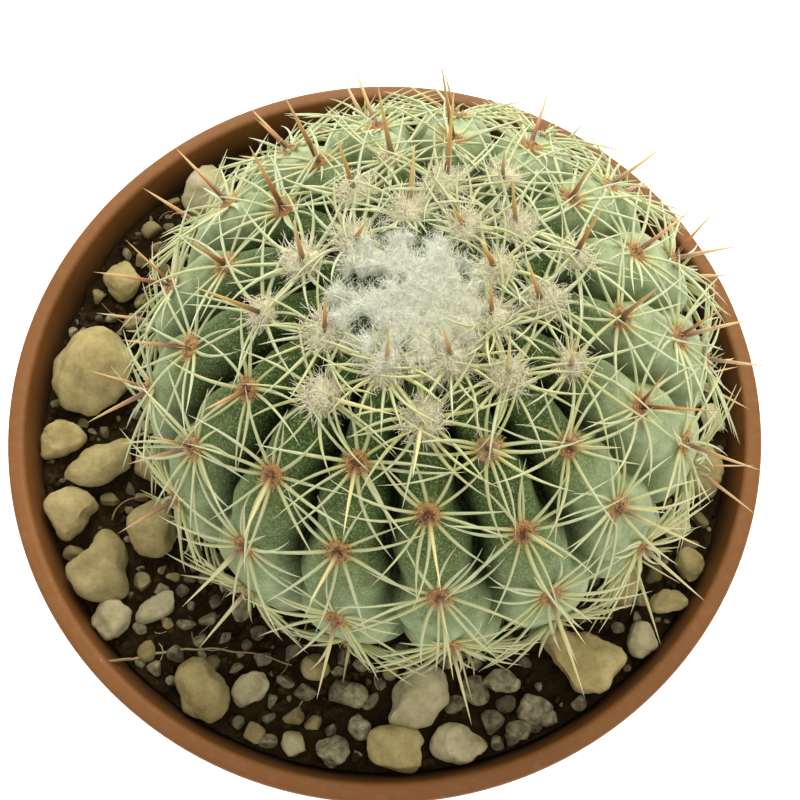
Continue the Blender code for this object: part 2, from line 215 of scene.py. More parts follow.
# Crown wool, a little in front and to the left of the crown's middle
WOOL_CENTRE = Vector((-1.45 * MM, -1.65 * MM))
WOOL_RADIUS = 8.2 * MM
WOOL_THICKNESS = 1.2 * MM
WOOL_MAT_DEPTH = 2 * MM
WOOL_GAP_SINK = 0.7 * MM
WOOL_EDGE_SINK = 0.9 * MM
WOOL_RINGS = 84
WOOL_COLUMNS = 220
CROWN_HAIR_RADIUS = 0.028 * MM
CROWN_HAIR_TRIES = 26000
CROWN_HAIRS = 13500
DENSE_COVER = 0.3
STRAY_CHANCE = 0.12

# Loose grains: how many, their least and greatest radius, and how much of it their middle stands out.
# Radii, lengths and the range from the pot's axis are in mm
FRONT_GRAVEL = 60, (0.9, 1.6), 0.5
TAN_GRAINS = 110, (0.7, 1.5), 0.5
GREY_GRAINS = 360, (0.4, 1.0), 0.45
CRUMBS = 2600, (0.25, 0.75), 0.35
TRIES_EACH = 40
GRAIN_RANGE = 15, 40
FRONT_SECTOR = math.radians(-140), math.radians(100)
GRAIN_FORMS = 12
GRAIN_CHIPS = 7
FIBRES = 110
FIBRE_STEPS = 8
FIBRE_LENGTHS = 1.5, 5.5
FIBRE_RADII = 0.05, 0.12

# Stones: facets as shares of their form, and the height and size of their lumps
CHIP_LEVELS = 0.6, 0.84
CHIP_DEPTH = 0.88
OUTLINED_CHIPS = 6
SMOOTH_CHIPS = 8
GREY_CHIPS = 10
OUTLINE_CHANGE = 0.75, 1.3
OUTLINE_SECTORS = 24
STONE_LUMPS = ((0.5 * MM, 2.4 * MM), (0.16 * MM, 0.6 * MM))

# Gaps of the wool that show the dark skin: pixel, half width and half height
WOOL_GAPS = (
    (365, 285, 31, 9), (416, 252, 10, 10), (461, 244, 6, 10), (464, 280, 8, 11), (363, 328, 11, 9),
    (353, 357, 12, 9), (404, 351, 9, 6), (421, 371, 12, 6),
)

# Pixels of the photo in which central spines end, by rib (counted from the front one, to the right)
# and areole (counted from the crown)
CENTRAL_TIPS = {
    (0, 1): (414, 478), (0, 2): (441, 592), (0, 3): (455, 680), (0, 4): (472, 725),
    (1, 0): (443, 324), (1, 1): (519, 459), (1, 2): (569, 558), (1, 3): (585, 695),
    (2, 1): (511, 331), (2, 2): (618, 450), (2, 3): (704, 551), (2, 4): (703, 600), (2, 5): (662, 642),
    (3, 1): (573, 352), (3, 2): (720, 412), (3, 3): (762, 473), (3, 4): (758, 513),
    (4, 1): (527, 262), (4, 2): (658, 287), (4, 3): (755, 316), (4, 4): (772, 368), (4, 5): (750, 409),
    (5, 0): (480, 240), (5, 1): (602, 206), (5, 2): (694, 211), (5, 3): (741, 243), (5, 4): (732, 273),
    (6, 2): (592, 160), (6, 3): (666, 145), (7, 1): (503, 148), (7, 2): (551, 88), (7, 3): (497, 100),
    (8, 1): (456, 86), (8, 2): (440, 60), (8, 3): (409, 86), (9, 1): (415, 144), (9, 2): (376, 87),
    (9, 3): (353, 68), (10, 1): (336, 134), (10, 2): (283, 90), (10, 3): (248, 106),
    (-1, 0): (388, 322), (-1, 1): (340, 536), (-1, 2): (311, 603), (-1, 3): (317, 700),
    (-2, 1): (396, 416), (-2, 2): (243, 533), (-2, 3): (183, 607), (-2, 4): (198, 648),
    (-3, 1): (325, 292), (-3, 2): (202, 411), (-3, 3): (128, 461), (-3, 4): (118, 533),
    (-4, 1): (196, 286), (-4, 2): (120, 341), (-4, 3): (86, 421),
    (-5, 1): (292, 222), (-5, 2): (183, 238), (-5, 3): (92, 268), (-5, 4): (96, 312),
    (-6, 0): (366, 222), (-6, 1): (250, 145), (-6, 2): (174, 146), (-6, 3): (143, 187),
}

# Pixels round the outlines of the stones whose form is clear in the photo
STONE_OUTLINES = {
    "stone_01": (
        (54, 392), (54, 362), (62, 345), (79, 331), (102, 330), (122, 337), (132, 352), (133, 376),
        (122, 398), (98, 416), (78, 415), (61, 406),
    ),
    "stone_02": ((42, 460), (50, 436), (65, 423), (80, 428), (90, 443), (72, 455), (58, 463)),
    "stone_03": (
        (50, 481), (62, 462), (76, 449), (98, 443), (124, 440), (122, 452), (104, 478), (90, 489),
        (60, 487),
    ),
    "stone_04": ((47, 508), (60, 494), (76, 493), (99, 511), (86, 524), (76, 541), (68, 547), (58, 536)),
    "stone_05": ((68, 576), (88, 540), (106, 518), (117, 526), (125, 560), (127, 582), (110, 590), (84, 588)),
    "stone_08": (
        (173, 684), (176, 668), (188, 661), (202, 664), (210, 681), (223, 695), (227, 713), (218, 727),
        (205, 733), (188, 722), (177, 704),
    ),
    "stone_09": (
        (227, 698), (231, 686), (243, 676), (259, 673), (266, 684), (261, 698), (246, 706), (233, 708),
    ),
    "stone_15": (
        (366, 757), (371, 743), (382, 735), (402, 733), (422, 743), (424, 757), (417, 779), (398, 780),
        (380, 772),
    ),
    "stone_16": (
        (382, 727), (396, 703), (398, 684), (420, 670), (442, 672), (444, 693), (438, 716), (427, 731),
        (400, 732),
    ),
    "stone_17": (
        (428, 748), (434, 737), (452, 728), (466, 729), (474, 738), (489, 752), (476, 763), (452, 769),
        (434, 762),
    ),
    "stone_20": (
        (541, 645), (552, 634), (577, 641), (602, 650), (628, 654), (633, 668), (617, 688), (602, 705),
        (584, 700), (571, 682), (556, 664),
    ),
}

# Stones lighter or darker than the others; stone_20, in the plant's shadow, is lightened by painted light
STONE_TONES_AND_PAINTED_LIGHT = {
    "stone_01": 1.0, "stone_03": 0.95, "stone_04": 0.85, "stone_05": 0.72, "stone_15": 1.12, "stone_16": 1.1,
    "stone_17": 1.12, "stone_20": 1.3,
}

# Pixels and radii of the small gravel that stands out in the photo
TAN_GRAVEL = (
    (213, 664, 1.2), (250, 741, 1.5), (293, 716, 1.3), (314, 724, 1.1), (392, 670, 1.3), (503, 683, 1.0),
    (147, 651, 1.4), (167, 622, 1.0), (69, 557, 1.4), (118, 610, 0.9), (312, 664, 1.5), (140, 300, 1.2),
    (152, 232, 1.3), (98, 296, 1.2), (140, 262, 1.0), (655, 575, 1.3), (690, 545, 1.2), (700, 520, 1.1),
)
GREY_GRAVEL = (
    (304, 690, 1.4), (341, 694, 1.9), (492, 722, 1.5), (476, 690, 1.9), (555, 727, 1.3), (545, 746, 1.1),
    (272, 700, 1.0), (522, 735, 1.5), (268, 742, 1.1), (455, 705, 1.3), (370, 700, 1.3), (330, 730, 1.0),
    (106, 432, 0.9), (160, 590, 1.1), (200, 640, 1.1), (125, 290, 1.0), (112, 318, 1.0), (640, 600, 1.3),
    (520, 760, 1.0), (590, 720, 1.0), (500, 752, 1.0), (238, 722, 0.9), (155, 668, 1.0), (130, 672, 0.9),
)

# Pixels along the dry root that lies over the left side, its height and its radius
DRY_ROOT = ((103, 661), (128, 657), (152, 651), (180, 647), (205, 646), (250, 652), (290, 662))
DRY_ROOT_HEIGHT = POT_HEIGHT - 1.3 * MM
DRY_ROOT_RADIUS = 0.17 * MM
DRY_ROOT_STEPS = 48


def random_for(key, number=0):
    return np.random.default_rng(SEEDS[key] + number)


def add_object(name, data):
    made = bpy.data.objects.new(name, data)
    bpy.context.scene.collection.objects.link(made)
    return made


# Node helpers


def set_inputs(tree, node, **inputs):
    """Links or sets a node's inputs. In their names here, _ stands for a space."""
    for key, value in inputs.items():
        socket = node.inputs[key.replace("_", " ")]
        if isinstance(value, bpy.types.NodeSocket):
            tree.links.new(value, socket)
        else:
            socket.default_value = value


def new_material(name, roughness):
    made = bpy.data.materials.new(name)
    made.use_nodes = True
    tree = made.node_tree
    shader = tree.nodes["Principled BSDF"]
    set_inputs(tree, shader, Roughness=roughness)
    return made, tree, shader


def add_node(tree, kind, **inputs):
    made = tree.nodes.new(kind)
    set_inputs(tree, made, **inputs)
    return made


def place_socket(tree):
    return add_node(tree, "ShaderNodeTexCoord").outputs["Object"]


def noise_at(tree, size, detail=3.0, roughness=0.6):
    """Noise whose lumps measure about the given size."""
    made = add_node(
        tree, "ShaderNodeTexNoise", Vector=place_socket(tree), Scale=1 / size, Detail=detail,
        Roughness=roughness,
    )
    return made.outputs["Fac"]


def ramp(tree, value, *stops):
    """A colour ramp from (position, (red, green, blue)) stops."""
    made = add_node(tree, "ShaderNodeValToRGB", Fac=value)
    elements = made.color_ramp.elements
    while len(elements) < len(stops):
        elements.new(0.5)
    for element, (position, colour) in zip(elements, stops):
        element.position = position
        element.color = (*colour, 1)
    return made.outputs["Color"]


def fade(tree, value, *stops):
    """A ramp of greys from (position, level) stops."""
    return ramp(tree, value, *((position, (level,) * 3) for position, level in stops))


def mix(tree, share, first, second, blend="MIX"):
    made = tree.nodes.new("ShaderNodeMix")
    made.data_type = "RGBA"
    made.blend_type = blend
    for socket, value in zip((made.inputs[0], made.inputs[6], made.inputs[7]), (share, first, second)):
        if isinstance(value, bpy.types.NodeSocket):
            tree.links.new(value, socket)
        else:
            socket.default_value = value if socket == made.inputs[0] else (*value, 1)
    return made.outputs[2]


def multiply(tree, first, second, share=1.0):
    return mix(tree, share, first, second, "MULTIPLY")


def attribute(tree, name):
    made = add_node(tree, "ShaderNodeAttribute")
    made.attribute_name = name
    return made.outputs["Fac"]


def bump(tree, shader, height, strength, distance):
    made = add_node(tree, "ShaderNodeBump", Height=height, Strength=strength, Distance=distance)
    set_inputs(tree, shader, Normal=made.outputs["Normal"])


# Materials


def pot_material():
    """Matt terracotta-brown plastic with faint mould marks, and soil dust and painted shade that darken its
    inner wall.
    """
    made, tree, shader = new_material("pot_plastic", 0.55)
    broad = noise_at(tree, 22 * MM, 4)
    fine = noise_at(tree, 1.1 * MM, 5)
    base = ramp(tree, broad, (0.3, (0.215, 0.082, 0.020)), (0.7, (0.254, 0.098, 0.026)))
    faded = mix(tree, 0.16, base, (0.46, 0.30, 0.16))
    worn = mix(tree, fade(tree, fine, (0.5, 0), (0.8, 1)), base, faded)
    smears = fade(tree, noise_at(tree, 4 * MM, 5, 0.7), (0.25, 0.7), (0.75, 1))
    # Soil dust and painted shade darken the inner wall below the lip
    dust_and_shade = multiply(tree, attribute(tree, "inside"), smears)
    rough = add_node(tree, "ShaderNodeMapRange", Value=fine, To_Min=0.48, To_Max=0.66)
    bump(tree, shader, fine, 0.12, 0.15 * MM)
    set_inputs(
        tree, shader, Base_Color=mix(tree, dust_and_shade, worn, (0.034, 0.018, 0.007)),
        Roughness=rough.outputs["Result"], Specular_IOR_Level=0.35, Subsurface_Weight=0.05,
        Subsurface_Radius=(1.0, 0.4, 0.2), Subsurface_Scale=1.0 * MM,
    )
    return made


def soil_material(name, dark, light):
    made, tree, shader = new_material(name, 0.95)
    fine = noise_at(tree, 0.45 * MM, 5, 0.7)
    base = ramp(tree, noise_at(tree, 2.2 * MM, 6, 0.7), (0.35, dark), (0.7, light))
    colour = mix(tree, fine, base, tuple(channel * 0.4 for channel in dark))
    bump(tree, shader, fine, 0.7, 0.4 * MM)
    set_inputs(tree, shader, Base_Color=colour, Specular_IOR_Level=0.1)
    return made


def stone_material(name, dark, light, stain, patch=5 * MM, speckle=0.3):
    """Worn gravel: a mottled colour, dull stains, fine grain and each stone's own shade, which on stone_20 is
    painted light.
    """
    made, tree, shader = new_material(name, 0.9)
    fine = noise_at(tree, 0.5 * MM, 5, 0.7)
    base = ramp(tree, noise_at(tree, patch, 4), (0.32, dark), (0.68, light))
    worn = ramp(tree, noise_at(tree, 1.9 * MM, 5, 0.7), (0.36, stain), (0.58, WHITE))
    grain = ramp(tree, fine, (0.36, stain), (0.52, WHITE))
    colour = multiply(tree, multiply(tree, base, worn, 0.5), grain, speckle)
    bump(tree, shader, fine, 0.45, 0.25 * MM)
    set_inputs(
        tree, shader, Base_Color=multiply(tree, colour, attribute(tree, "shade")), Specular_IOR_Level=0.2,
    )
    return made


def flesh_material():
    """Green skin, paler low on the sides and, by painted light, at the back and right, nearly black in the
    valleys by painted shade, stippled with tiny pale dots.
    """
    made, tree, shader = new_material("cactus_flesh", 0.5)
    depth = attribute(tree, "depth")
    # Paler low down, and paler at the back and right by painted light
    low = attribute(tree, "bloom_and_painted_light")
    crest = ramp(
        tree, low, (0.15, (0.062, 0.116, 0.022)), (0.38, (0.083, 0.140, 0.036)),
        (0.56, (0.202, 0.280, 0.112)), (0.82, (0.550, 0.640, 0.410)),
    )
    patches = fade(tree, noise_at(tree, 4 * MM, 3), (0.42, 0), (0.7, 0.5))
    crest = mix(tree, patches, crest, (0.122, 0.200, 0.068))
    clouds = ramp(tree, noise_at(tree, 1.7 * MM, 4), (0.35, (0.66, 0.68, 0.66)), (0.62, WHITE))
    crest = multiply(tree, crest, clouds)
    # Painted shade: the valleys go nearly black, less so low down and on the paler back and right
    painted_valley_shade = ramp(tree, low, (0.62, (0.009, 0.016, 0.003)), (1.0, (0.200, 0.260, 0.115)))
    body = mix(tree, fade(tree, depth, (0.12, 0), (0.72, 1)), crest, painted_valley_shade)
    dark = fade(tree, noise_at(tree, 0.2 * MM, 2), (0.36, 0.45), (0.54, 1))
    share = fade(tree, low, (0.45, 1), (0.75, 0.25))
    mottled = mix(tree, share, body, multiply(tree, body, dark))
    dots = add_node(tree, "ShaderNodeTexVoronoi", Vector=place_socket(tree), Scale=1 / (0.24 * MM))
    spots = fade(tree, dots.outputs["Distance"], (0.12, 1), (0.5, 0))
    gaps = fade(tree, noise_at(tree, 0.35 * MM, 3), (0.3, 0.1), (0.6, 1))
    crests = fade(tree, depth, (0.1, 0.55), (0.8, 0.25))
    lit = multiply(tree, multiply(tree, spots, gaps), crests)
    bump(tree, shader, noise_at(tree, 0.25 * MM, 3), 0.5, 0.1 * MM)
    set_inputs(
        tree, shader, Base_Color=mix(tree, lit, mottled, (0.50, 0.63, 0.36)), Specular_IOR_Level=0.1,
        Subsurface_Weight=0.12, Subsurface_Radius=(0.5, 1.0, 0.35), Subsurface_Scale=0.8 * MM,
        Sheen_Weight=fade(tree, depth, (0.03, 0.4), (0.3, 0)), Sheen_Roughness=0.45,
        Sheen_Tint=(0.85, 0.95, 0.6, 1),
    )
    return made


def spine_material(name, old, young, pale, base_end, roughness=0.42):
    """Horn-like spines: colours along old and young ones, and some paler than others beyond their base."""
    made, tree, shader = new_material(name, roughness)
    along = attribute(tree, "along")
    grown = mix(tree, attribute(tree, "young"), ramp(tree, along, *old), ramp(tree, along, *young))
    beyond = fade(tree, along, (base_end, 0), (base_end + 0.25, 1))
    shifted = mix(tree, multiply(tree, attribute(tree, "tone"), beyond), grown, pale)
    streaks = fade(tree, noise_at(tree, 0.8 * MM, 3), (0.45, 0), (0.8, 0.2))
    set_inputs(
        tree, shader, Base_Color=mix(tree, streaks, shifted, (0.45, 0.38, 0.16)), Subsurface_Weight=0.35,
        Subsurface_Radius=(1.0, 0.9, 0.5), Subsurface_Scale=0.5 * MM,
    )
    return made


def hair_material(name, root, tip, shade):
    made, tree, shader = new_material(name, 0.75)
    base = ramp(tree, attribute(tree, "along"), (0.1, root), (0.8, tip))
    share = fade(tree, attribute(tree, "tone"), (0.2, 0), (1, 0.5))
    set_inputs(
        tree, shader, Base_Color=mix(tree, share, base, shade), Sheen_Weight=0.8, Sheen_Tint=(*tip, 1),
    )
    return made


def felt_material(name, dark, light, rim, woolly_dark, woolly_light):
    """Matted fibres, paler round the rim, whose colours change with the wool attribute."""
    made, tree, shader = new_material(name, 0.95)
    fine = noise_at(tree, 0.3 * MM, 5, 0.75)
    centre = ramp(tree, fine, (0.38, dark), (0.62, light))
    old = mix(tree, fade(tree, attribute(tree, "rim"), (0.45, 0), (0.85, 1)), centre, rim)
    new = ramp(tree, fine, (0.36, woolly_dark), (0.56, woolly_light))
    bump(tree, shader, fine, 0.8, 0.3 * MM)
    set_inputs(tree, shader, Base_Color=mix(tree, attribute(tree, "wool"), old, new), Sheen_Weight=0.3)
    return made


# Mesh helpers


def add_piece(name, points, face_groups, look, smooth=True, values=None):
    """A named mesh that rides with the object. Each face group is an array with one face a row."""
    mesh = bpy.data.meshes.new(name)
    places = np.asarray(points, np.float32).reshape(-1, 3)
    corners = np.concatenate([np.asarray(group).ravel() for group in face_groups])
    sizes = np.concatenate([np.full(len(group), np.shape(group)[1]) for group in face_groups])
    starts = np.concatenate(([0], np.cumsum(sizes)[:-1]))
    mesh.vertices.add(len(places))
    mesh.vertices.foreach_set("co", places.ravel())
    mesh.loops.add(len(corners))
    mesh.loops.foreach_set("vertex_index", corners.astype(np.int32))
    mesh.polygons.add(len(sizes))
    mesh.polygons.foreach_set("loop_start", starts.astype(np.int32))
    mesh.polygons.foreach_set("use_smooth", np.full(len(sizes), smooth))
    mesh.update(calc_edges=True)
    for key, numbers in (values or {}).items():
        layer = mesh.attributes.new(key, "FLOAT", "POINT")
        layer.data.foreach_set("value", np.asarray(numbers, np.float32).ravel())
    mesh.materials.append(look)
    piece = add_object(name, mesh)
    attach(piece, "root")
    return piece


def unit(vectors):
    return vectors / np.maximum(np.linalg.norm(vectors, axis=-1, keepdims=True), 1e-12)


def swung(angle, start, end):
    """The direction at this angle from the start towards the end."""
    return np.cos(angle) * start + np.sin(angle) * end


def smooth(value, low, high):
    share = np.clip((value - low) / (high - low), 0, 1)
    return share * share * (3 - 2 * share)


def ring(radius, around, height):
    """Points round the upright axis, at the angles around."""
    return np.stack((radius * np.cos(around), radius * np.sin(around), height + 0 * around), axis=-1)


def closed_form(rows, sides):
    """The faces and both caps of a form made of rings that run down its outer side."""
    index = np.arange(rows * sides).reshape(rows, sides)
    after = np.roll(index, -1, axis=1)
    quads = np.stack((index[:-1], index[1:], after[1:], after[:-1]), axis=-1).reshape(-1, 4)
    return [quads, index[:1], index[-1:, ::-1]]


def add_strands(name, paths, radii, sides, traits, look):
    """Spines or hairs as one piece of closed tubes, with each point's share of the way and the tubes' traits.

    Paths is (tubes, points, 3) and radii (tubes, points).
    """
    count, steps, _ = paths.shape
    along = unit(np.gradient(paths, axis=1))
    reference = np.eye(3)[np.argmin(np.abs(along.mean(1)), axis=1)][:, None, :]
    side = unit(np.cross(along, reference))
    other = np.cross(along, side)
    around = np.arange(sides) * TURN / sides
    circle = swung(around[:, None], side[:, :, None], other[:, :, None])
    points = paths[:, :, None] + radii[:, :, None, None] * circle
    index = np.arange(count * steps * sides).reshape(count, steps, sides)
    after = np.roll(index, -1, axis=2)
    quads = np.stack((index[:, :-1], after[:, :-1], after[:, 1:], index[:, 1:]), axis=-1).reshape(-1, 4)
    caps = np.concatenate((index[:, 0, ::-1], index[:, -1]))
    values = {"along": np.broadcast_to(np.linspace(0, 1, steps)[None, :, None], index.shape)}
    for key, numbers in traits.items():
        values[key] = np.broadcast_to(np.asarray(numbers)[:, None, None], index.shape)
    add_piece(name, points, [quads, caps], look, values=values)


def noise_of(points, size, seed=0):
    """Smooth noise at each point, about -0.5 to 0.5."""
    shift = Vector((seed * 7.1, seed * 3.3, seed * 5.7))
    levels = [noise.noise(Vector(point) / size + shift) for point in points.reshape(-1, 3)]
    return np.array(levels).reshape(points.shape[:-1])


def transformed(matrix, points):
    values = np.array(matrix)
    return points @ values[:3, :3].T + values[:3, 3]


def turned(matrix, vectors):
    return vectors @ np.array(matrix)[:3, :3].T


# Pot


def inner_radius(height):
    share = (height - FLOOR_THICKNESS) / (POT_HEIGHT - FLOOR_THICKNESS)
    return INNER_FOOT + (INNER_TOP - INNER_FOOT) * share


def pot_profile():
    """(radius, height) from the floor's middle up the inside, over the lip and down to the foot's middle."""
    half = LIP_WIDTH / 2
    collar_bottom = POT_HEIGHT - COLLAR_HEIGHT
    below_collar = inner_radius(collar_bottom) + WALL
    profile = [(POLE_RADIUS, FLOOR_THICKNESS)]
    profile += [(INNER_FOOT * share, FLOOR_THICKNESS) for share in (0.25, 0.5, 0.75, 0.97)]
    for step in range(1, INNER_ROWS):
        height = FLOOR_THICKNESS + (POT_HEIGHT - half - FLOOR_THICKNESS) * step / INNER_ROWS
        profile.append((inner_radius(height), height))
    for step in range(LIP_ROWS + 1):
        around = math.pi - math.pi * step / LIP_ROWS
        across = math.copysign(abs(math.cos(around)) ** LIP_SQUARENESS, math.cos(around))
        rise = math.sin(around) ** LIP_SQUARENESS
        profile.append((LIP_RADIUS - half + half * across, POT_HEIGHT - half + half * rise))
    profile += [(LIP_RADIUS - inset * MM, POT_HEIGHT + rise * MM) for inset, rise in UNDER_LIP]
    profile += [(LIP_RADIUS - inset * MM, collar_bottom + rise * MM) for inset, rise in COLLAR_EDGE]
    profile.append((below_collar + 0.1 * MM, collar_bottom - 0.25 * MM))
    for step in range(WALL_ROWS + 1):
        share = step / WALL_ROWS
        height = (collar_bottom - 0.5 * MM) * (1 - share) + 1.2 * MM * share
        profile.append((below_collar * (1 - share) + FOOT_RADIUS * share, height))
    profile += [(FOOT_RADIUS - inset * MM, rise * MM) for inset, rise in FOOT_EDGE]
    profile += [(FOOT_RADIUS * share, 0) for share in (0.8, 0.5, 0.25)]
    return profile + [(POLE_RADIUS, 0)]


def build_pot():
    profile = pot_profile()
    around = np.arange(POT_SIDES) * TURN / POT_SIDES
    points = np.array([ring(radius, around, height) for radius, height in profile])
    heights = np.array(profile)[:, 1]
    inner = np.arange(len(profile)) < np.argmax(heights)
    # How much soil dust and painted shade darken each row of the inner wall
    inside = inner * smooth(POT_HEIGHT - heights, *DUST_AND_SHADE_WALL)
    pot = add_piece(
        "pot_shell", points, closed_form(len(profile), POT_SIDES), pot_material(),
        values={"inside": np.repeat(inside, POT_SIDES)},
    )
    drains = bmesh.new()
    for hole in range(DRAIN_HOLES):
        angle = TURN * (hole + 0.5) / DRAIN_HOLES
        place = Matrix.Translation((DRAIN_RING * math.cos(angle), DRAIN_RING * math.sin(angle), 0))
        bmesh.ops.create_cone(
            drains, cap_ends=True, segments=DRAIN_SIDES, radius1=DRAIN_RADIUS, radius2=DRAIN_RADIUS,
            depth=6 * FLOOR_THICKNESS, matrix=place,
        )
    cut_away(pot, drains)
    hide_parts("pot")


def cut_away(piece, builder):
    """Cuts the builder's closed forms out of the piece, and keeps its materials."""
    mesh = bpy.data.meshes.new("cutter")
    builder.to_mesh(mesh)
    builder.free()
    cutter = add_object("cutter", mesh)
    modifier = piece.modifiers.new("cut", "BOOLEAN")
    modifier.operation = "DIFFERENCE"
    modifier.object = cutter
    modifier.solver = "EXACT"
    graph = bpy.context.evaluated_depsgraph_get()
    result = bpy.data.meshes.new_from_object(piece.evaluated_get(graph))
    piece.modifiers.clear()
    piece.data = result
    result.set_sharp_from_angle(angle=SHARP_EDGE)
    bpy.data.objects.remove(cutter)


# Plant's form


LEAN = Matrix.Rotation(LEAN_BACK, 4, "X") @ Matrix.Rotation(LEAN_LEFT, 4, "Y")
PLANT = Matrix.Translation(BODY_CENTRE) @ LEAN
ANGLES = np.linspace(0, math.pi, 721)
ARC_STEPS = np.hypot(np.diff(BODY_RADIUS * np.sin(ANGLES)), np.diff(BODY_HALF_HEIGHT * np.cos(ANGLES)))
ARCS = np.concatenate(([0], np.cumsum(ARC_STEPS)))
FOOT_ARC = float(ARCS[-1])


def crest_frame(rib, arc):
    """Points on the ribs' crests with their outward, downward and sideways directions."""
    rib, arc = np.broadcast_arrays(np.asarray(rib, float), np.asarray(arc, float))
    angle = np.interp(arc, ARCS, ANGLES)
    outward = ring(1, FIRST_RIB + rib * TURN / RIBS + RIB_TWIST * (angle - 1), 0)
    up = np.array((0.0, 0.0, 1.0))
    sine, cosine = np.sin(angle)[..., None], np.cos(angle)[..., None]
    point = BODY_RADIUS * sine * outward + BODY_HALF_HEIGHT * cosine * up
    normal = unit(sine / BODY_RADIUS * outward + cosine / BODY_HALF_HEIGHT * up)
    down = unit(BODY_RADIUS * cosine * outward - BODY_HALF_HEIGHT * sine * up)
    return point, normal, down, np.cross(normal, down)


def rib_number(index):
    """Ribs counted from the front one, so that the rule's seam is at the back."""
    index = np.asarray(index) % RIBS
    return np.where(index <= FRONT_RIBS, index, index - RIBS)


def below_areole(index, arc):
    """How far this place is below the nearest areole above it, and the spacing to the next one."""
    number = rib_number(index)
    spacing = AREOLE_SPACING + SPACING_SLOPE * number
    return (arc - AREOLE_START - AREOLE_SHIFT * number) % spacing, spacing


def swelling(index, arc):
    below, spacing = below_areole(index, arc)
    return np.sin(math.pi * (below / spacing) ** 0.85) ** 1.2


def skin_points(column, arc):
    """Points of the skin, and how deep in a valley each one is, from 0 to 1."""
    left = np.floor(column)
    sway = VALLEY_SWAY * (swelling(left, arc) - swelling(left + 1, arc))
    point, normal, _, _ = crest_frame(column + sway * np.sin(math.pi * (column - left)), arc)
    index = np.round(column)
    across = np.minimum(1, np.abs(column - index) * 2)
    full = swelling(index, arc)
    below, spacing = below_areole(index, arc)
    near = np.minimum(below, spacing - below)
    shown = smooth(arc, *CROWN_FADE) * smooth(FOOT_ARC - arc, *FOOT_FADE)
    angle = np.interp(arc, ARCS, ANGLES)
    depth = np.minimum(RIB_DEPTH, 0.36 * BODY_RADIUS * np.sin(angle)) * shown
    depth = depth * (1 - (1 - LOW_RIB_DEPTH) * smooth(arc, *LOW_RIBS))
    dip = across ** (RIB_BREADTH + 0.4 * full)
    rise = CHIN_RISE * full * (1 - across**2) * shown
    rise = rise + AREOLE_RISE * np.exp(-((near / AREOLE_WIDTH) ** 2)) * (1 - across) ** 2 * shown
    return point + (rise - depth * dip)[..., None] * normal, dip * np.minimum(1, depth / RIB_DEPTH + 0.1)


def find_areoles():
    """Each areole's rib number, order on the rib and arc, and its crest frame."""
    found = []
    for index in range(RIBS):
        number = int(rib_number(index))
        spacing = AREOLE_SPACING + SPACING_SLOPE * number
        first = (AREOLE_START + AREOLE_SHIFT * number) % spacing
        for order in range(MOST_ON_RIB):
            arc = first + order * spacing
            if FIRST_ARC <= arc <= LAST_ARC:
                found.append((number, order, arc, crest_frame(index, arc)))
    return found


AREOLES = find_areoles()


def build_flesh():
    """The ribbed body with its root neck as one closed surface."""
    columns = np.arange(RIBS * RIB_COLUMNS) / RIB_COLUMNS
    arcs = np.linspace(0.35 * MM, FOOT_ARC - ROOT_RADIUS, SKIN_ROWS)
    points, dips = skin_points(columns[None, :], arcs[:, None])
    points = points + SKIN_LUMPS * noise_of(points, 2.5 * MM)[..., None] * unit(points)
    ways = unit(points)
    # Painted light: the skin towards the back and the right is paled as if lit more, on top of its paling low
    # down
    painted_light_side = smooth(0.7 * ways[..., 1] + np.where(ways[..., 0] > 0, 1.0, 0.1) * ways[..., 0] + 0.25, 0, 1)
    low = (arcs / LAST_ARC)[:, None] + PAINTED_LIGHT_PALING * painted_light_side * smooth(arcs, *PAINTED_LIGHT_ARCS)[:, None]
    around = FIRST_RIB + columns * TURN / RIBS + RIB_TWIST * (math.pi - 1)
    neck = np.array([
        ring(ROOT_RADIUS * reach, around, -BODY_HALF_HEIGHT - ROOT_DEPTH * depth)
        for reach, depth in ROOT_OUTLINE
    ])
    points = np.concatenate((points, neck))
    extra = np.zeros(neck.shape[:2])
    values = {"depth": np.concatenate((dips, extra)), "bloom_and_painted_light": np.concatenate((low, extra + 1))}
    flesh = add_piece(
        "cactus_flesh", transformed(PLANT, points), closed_form(*points.shape[:2]), flesh_material(),
        values=values,
    )
    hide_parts("cactus")


# Spines


STONE_NODES = sorted(name for name in frame["nodes"] if name.startswith("stone_"))
STONE_BOXES = [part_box(name) for name in STONE_NODES]
STONE_FORMS = [((low + high) / 2, (high - low) / 2) for low, high in STONE_BOXES]


def floor_below(x, y):
    """The top of what lies under each place: soil, a stone or the pot's lip."""
    floor = np.full(x.shape, SOIL_TOP)
    for centre, half in STONE_FORMS:
        inside = 1 - ((x - centre.x) / (half.x + GAP)) ** 2 - ((y - centre.y) / (half.y + GAP)) ** 2
        top = centre.z + half.z * np.sqrt(np.clip(inside, 0, 1))
        floor = np.where(inside > 0, np.maximum(floor, top), floor)
    return np.where(np.hypot(x, y) > INNER_TOP - LIP_MARGIN, POT_HEIGHT, floor)


def spine_paths(roots, directions, lengths, bends, steps):
    """Paths that drift by the bend towards the tip and are lifted clear of what is below."""
    share = np.linspace(0, 1, steps)[None, :, None]
    paths = roots[:, None] + directions[:, None] * lengths[:, None, None] * share + bends[:, None] * share**2
    paths = transformed(PLANT, paths)
    outer = slice(steps // 3, None)
    missing = floor_below(paths[:, outer, 0], paths[:, outer, 1]) + SPINE_CLEARANCE - paths[:, outer, 2]
    lift = np.clip((missing / share[:, outer, 0] ** 1.5).max(1), 0, None)
    paths[:, :, 2] += lift[:, None] * share[:, :, 0] ** 1.5
    return paths


def add_spines(name, spines, steps, sides, taper, look):
    """Spines from (root, direction, length, bend, thickness, tone, youth) rows, with their taper."""
    roots, directions, lengths, bends, thick, tones, young = (np.array(values) for values in zip(*spines))
    paths = spine_paths(roots, directions, lengths, bends, steps)
    radii = thick[:, None] * taper(np.linspace(0, 1, steps))[None, :]
    add_strands(name, paths, radii, sides, {"tone": tones, "young": young}, look)


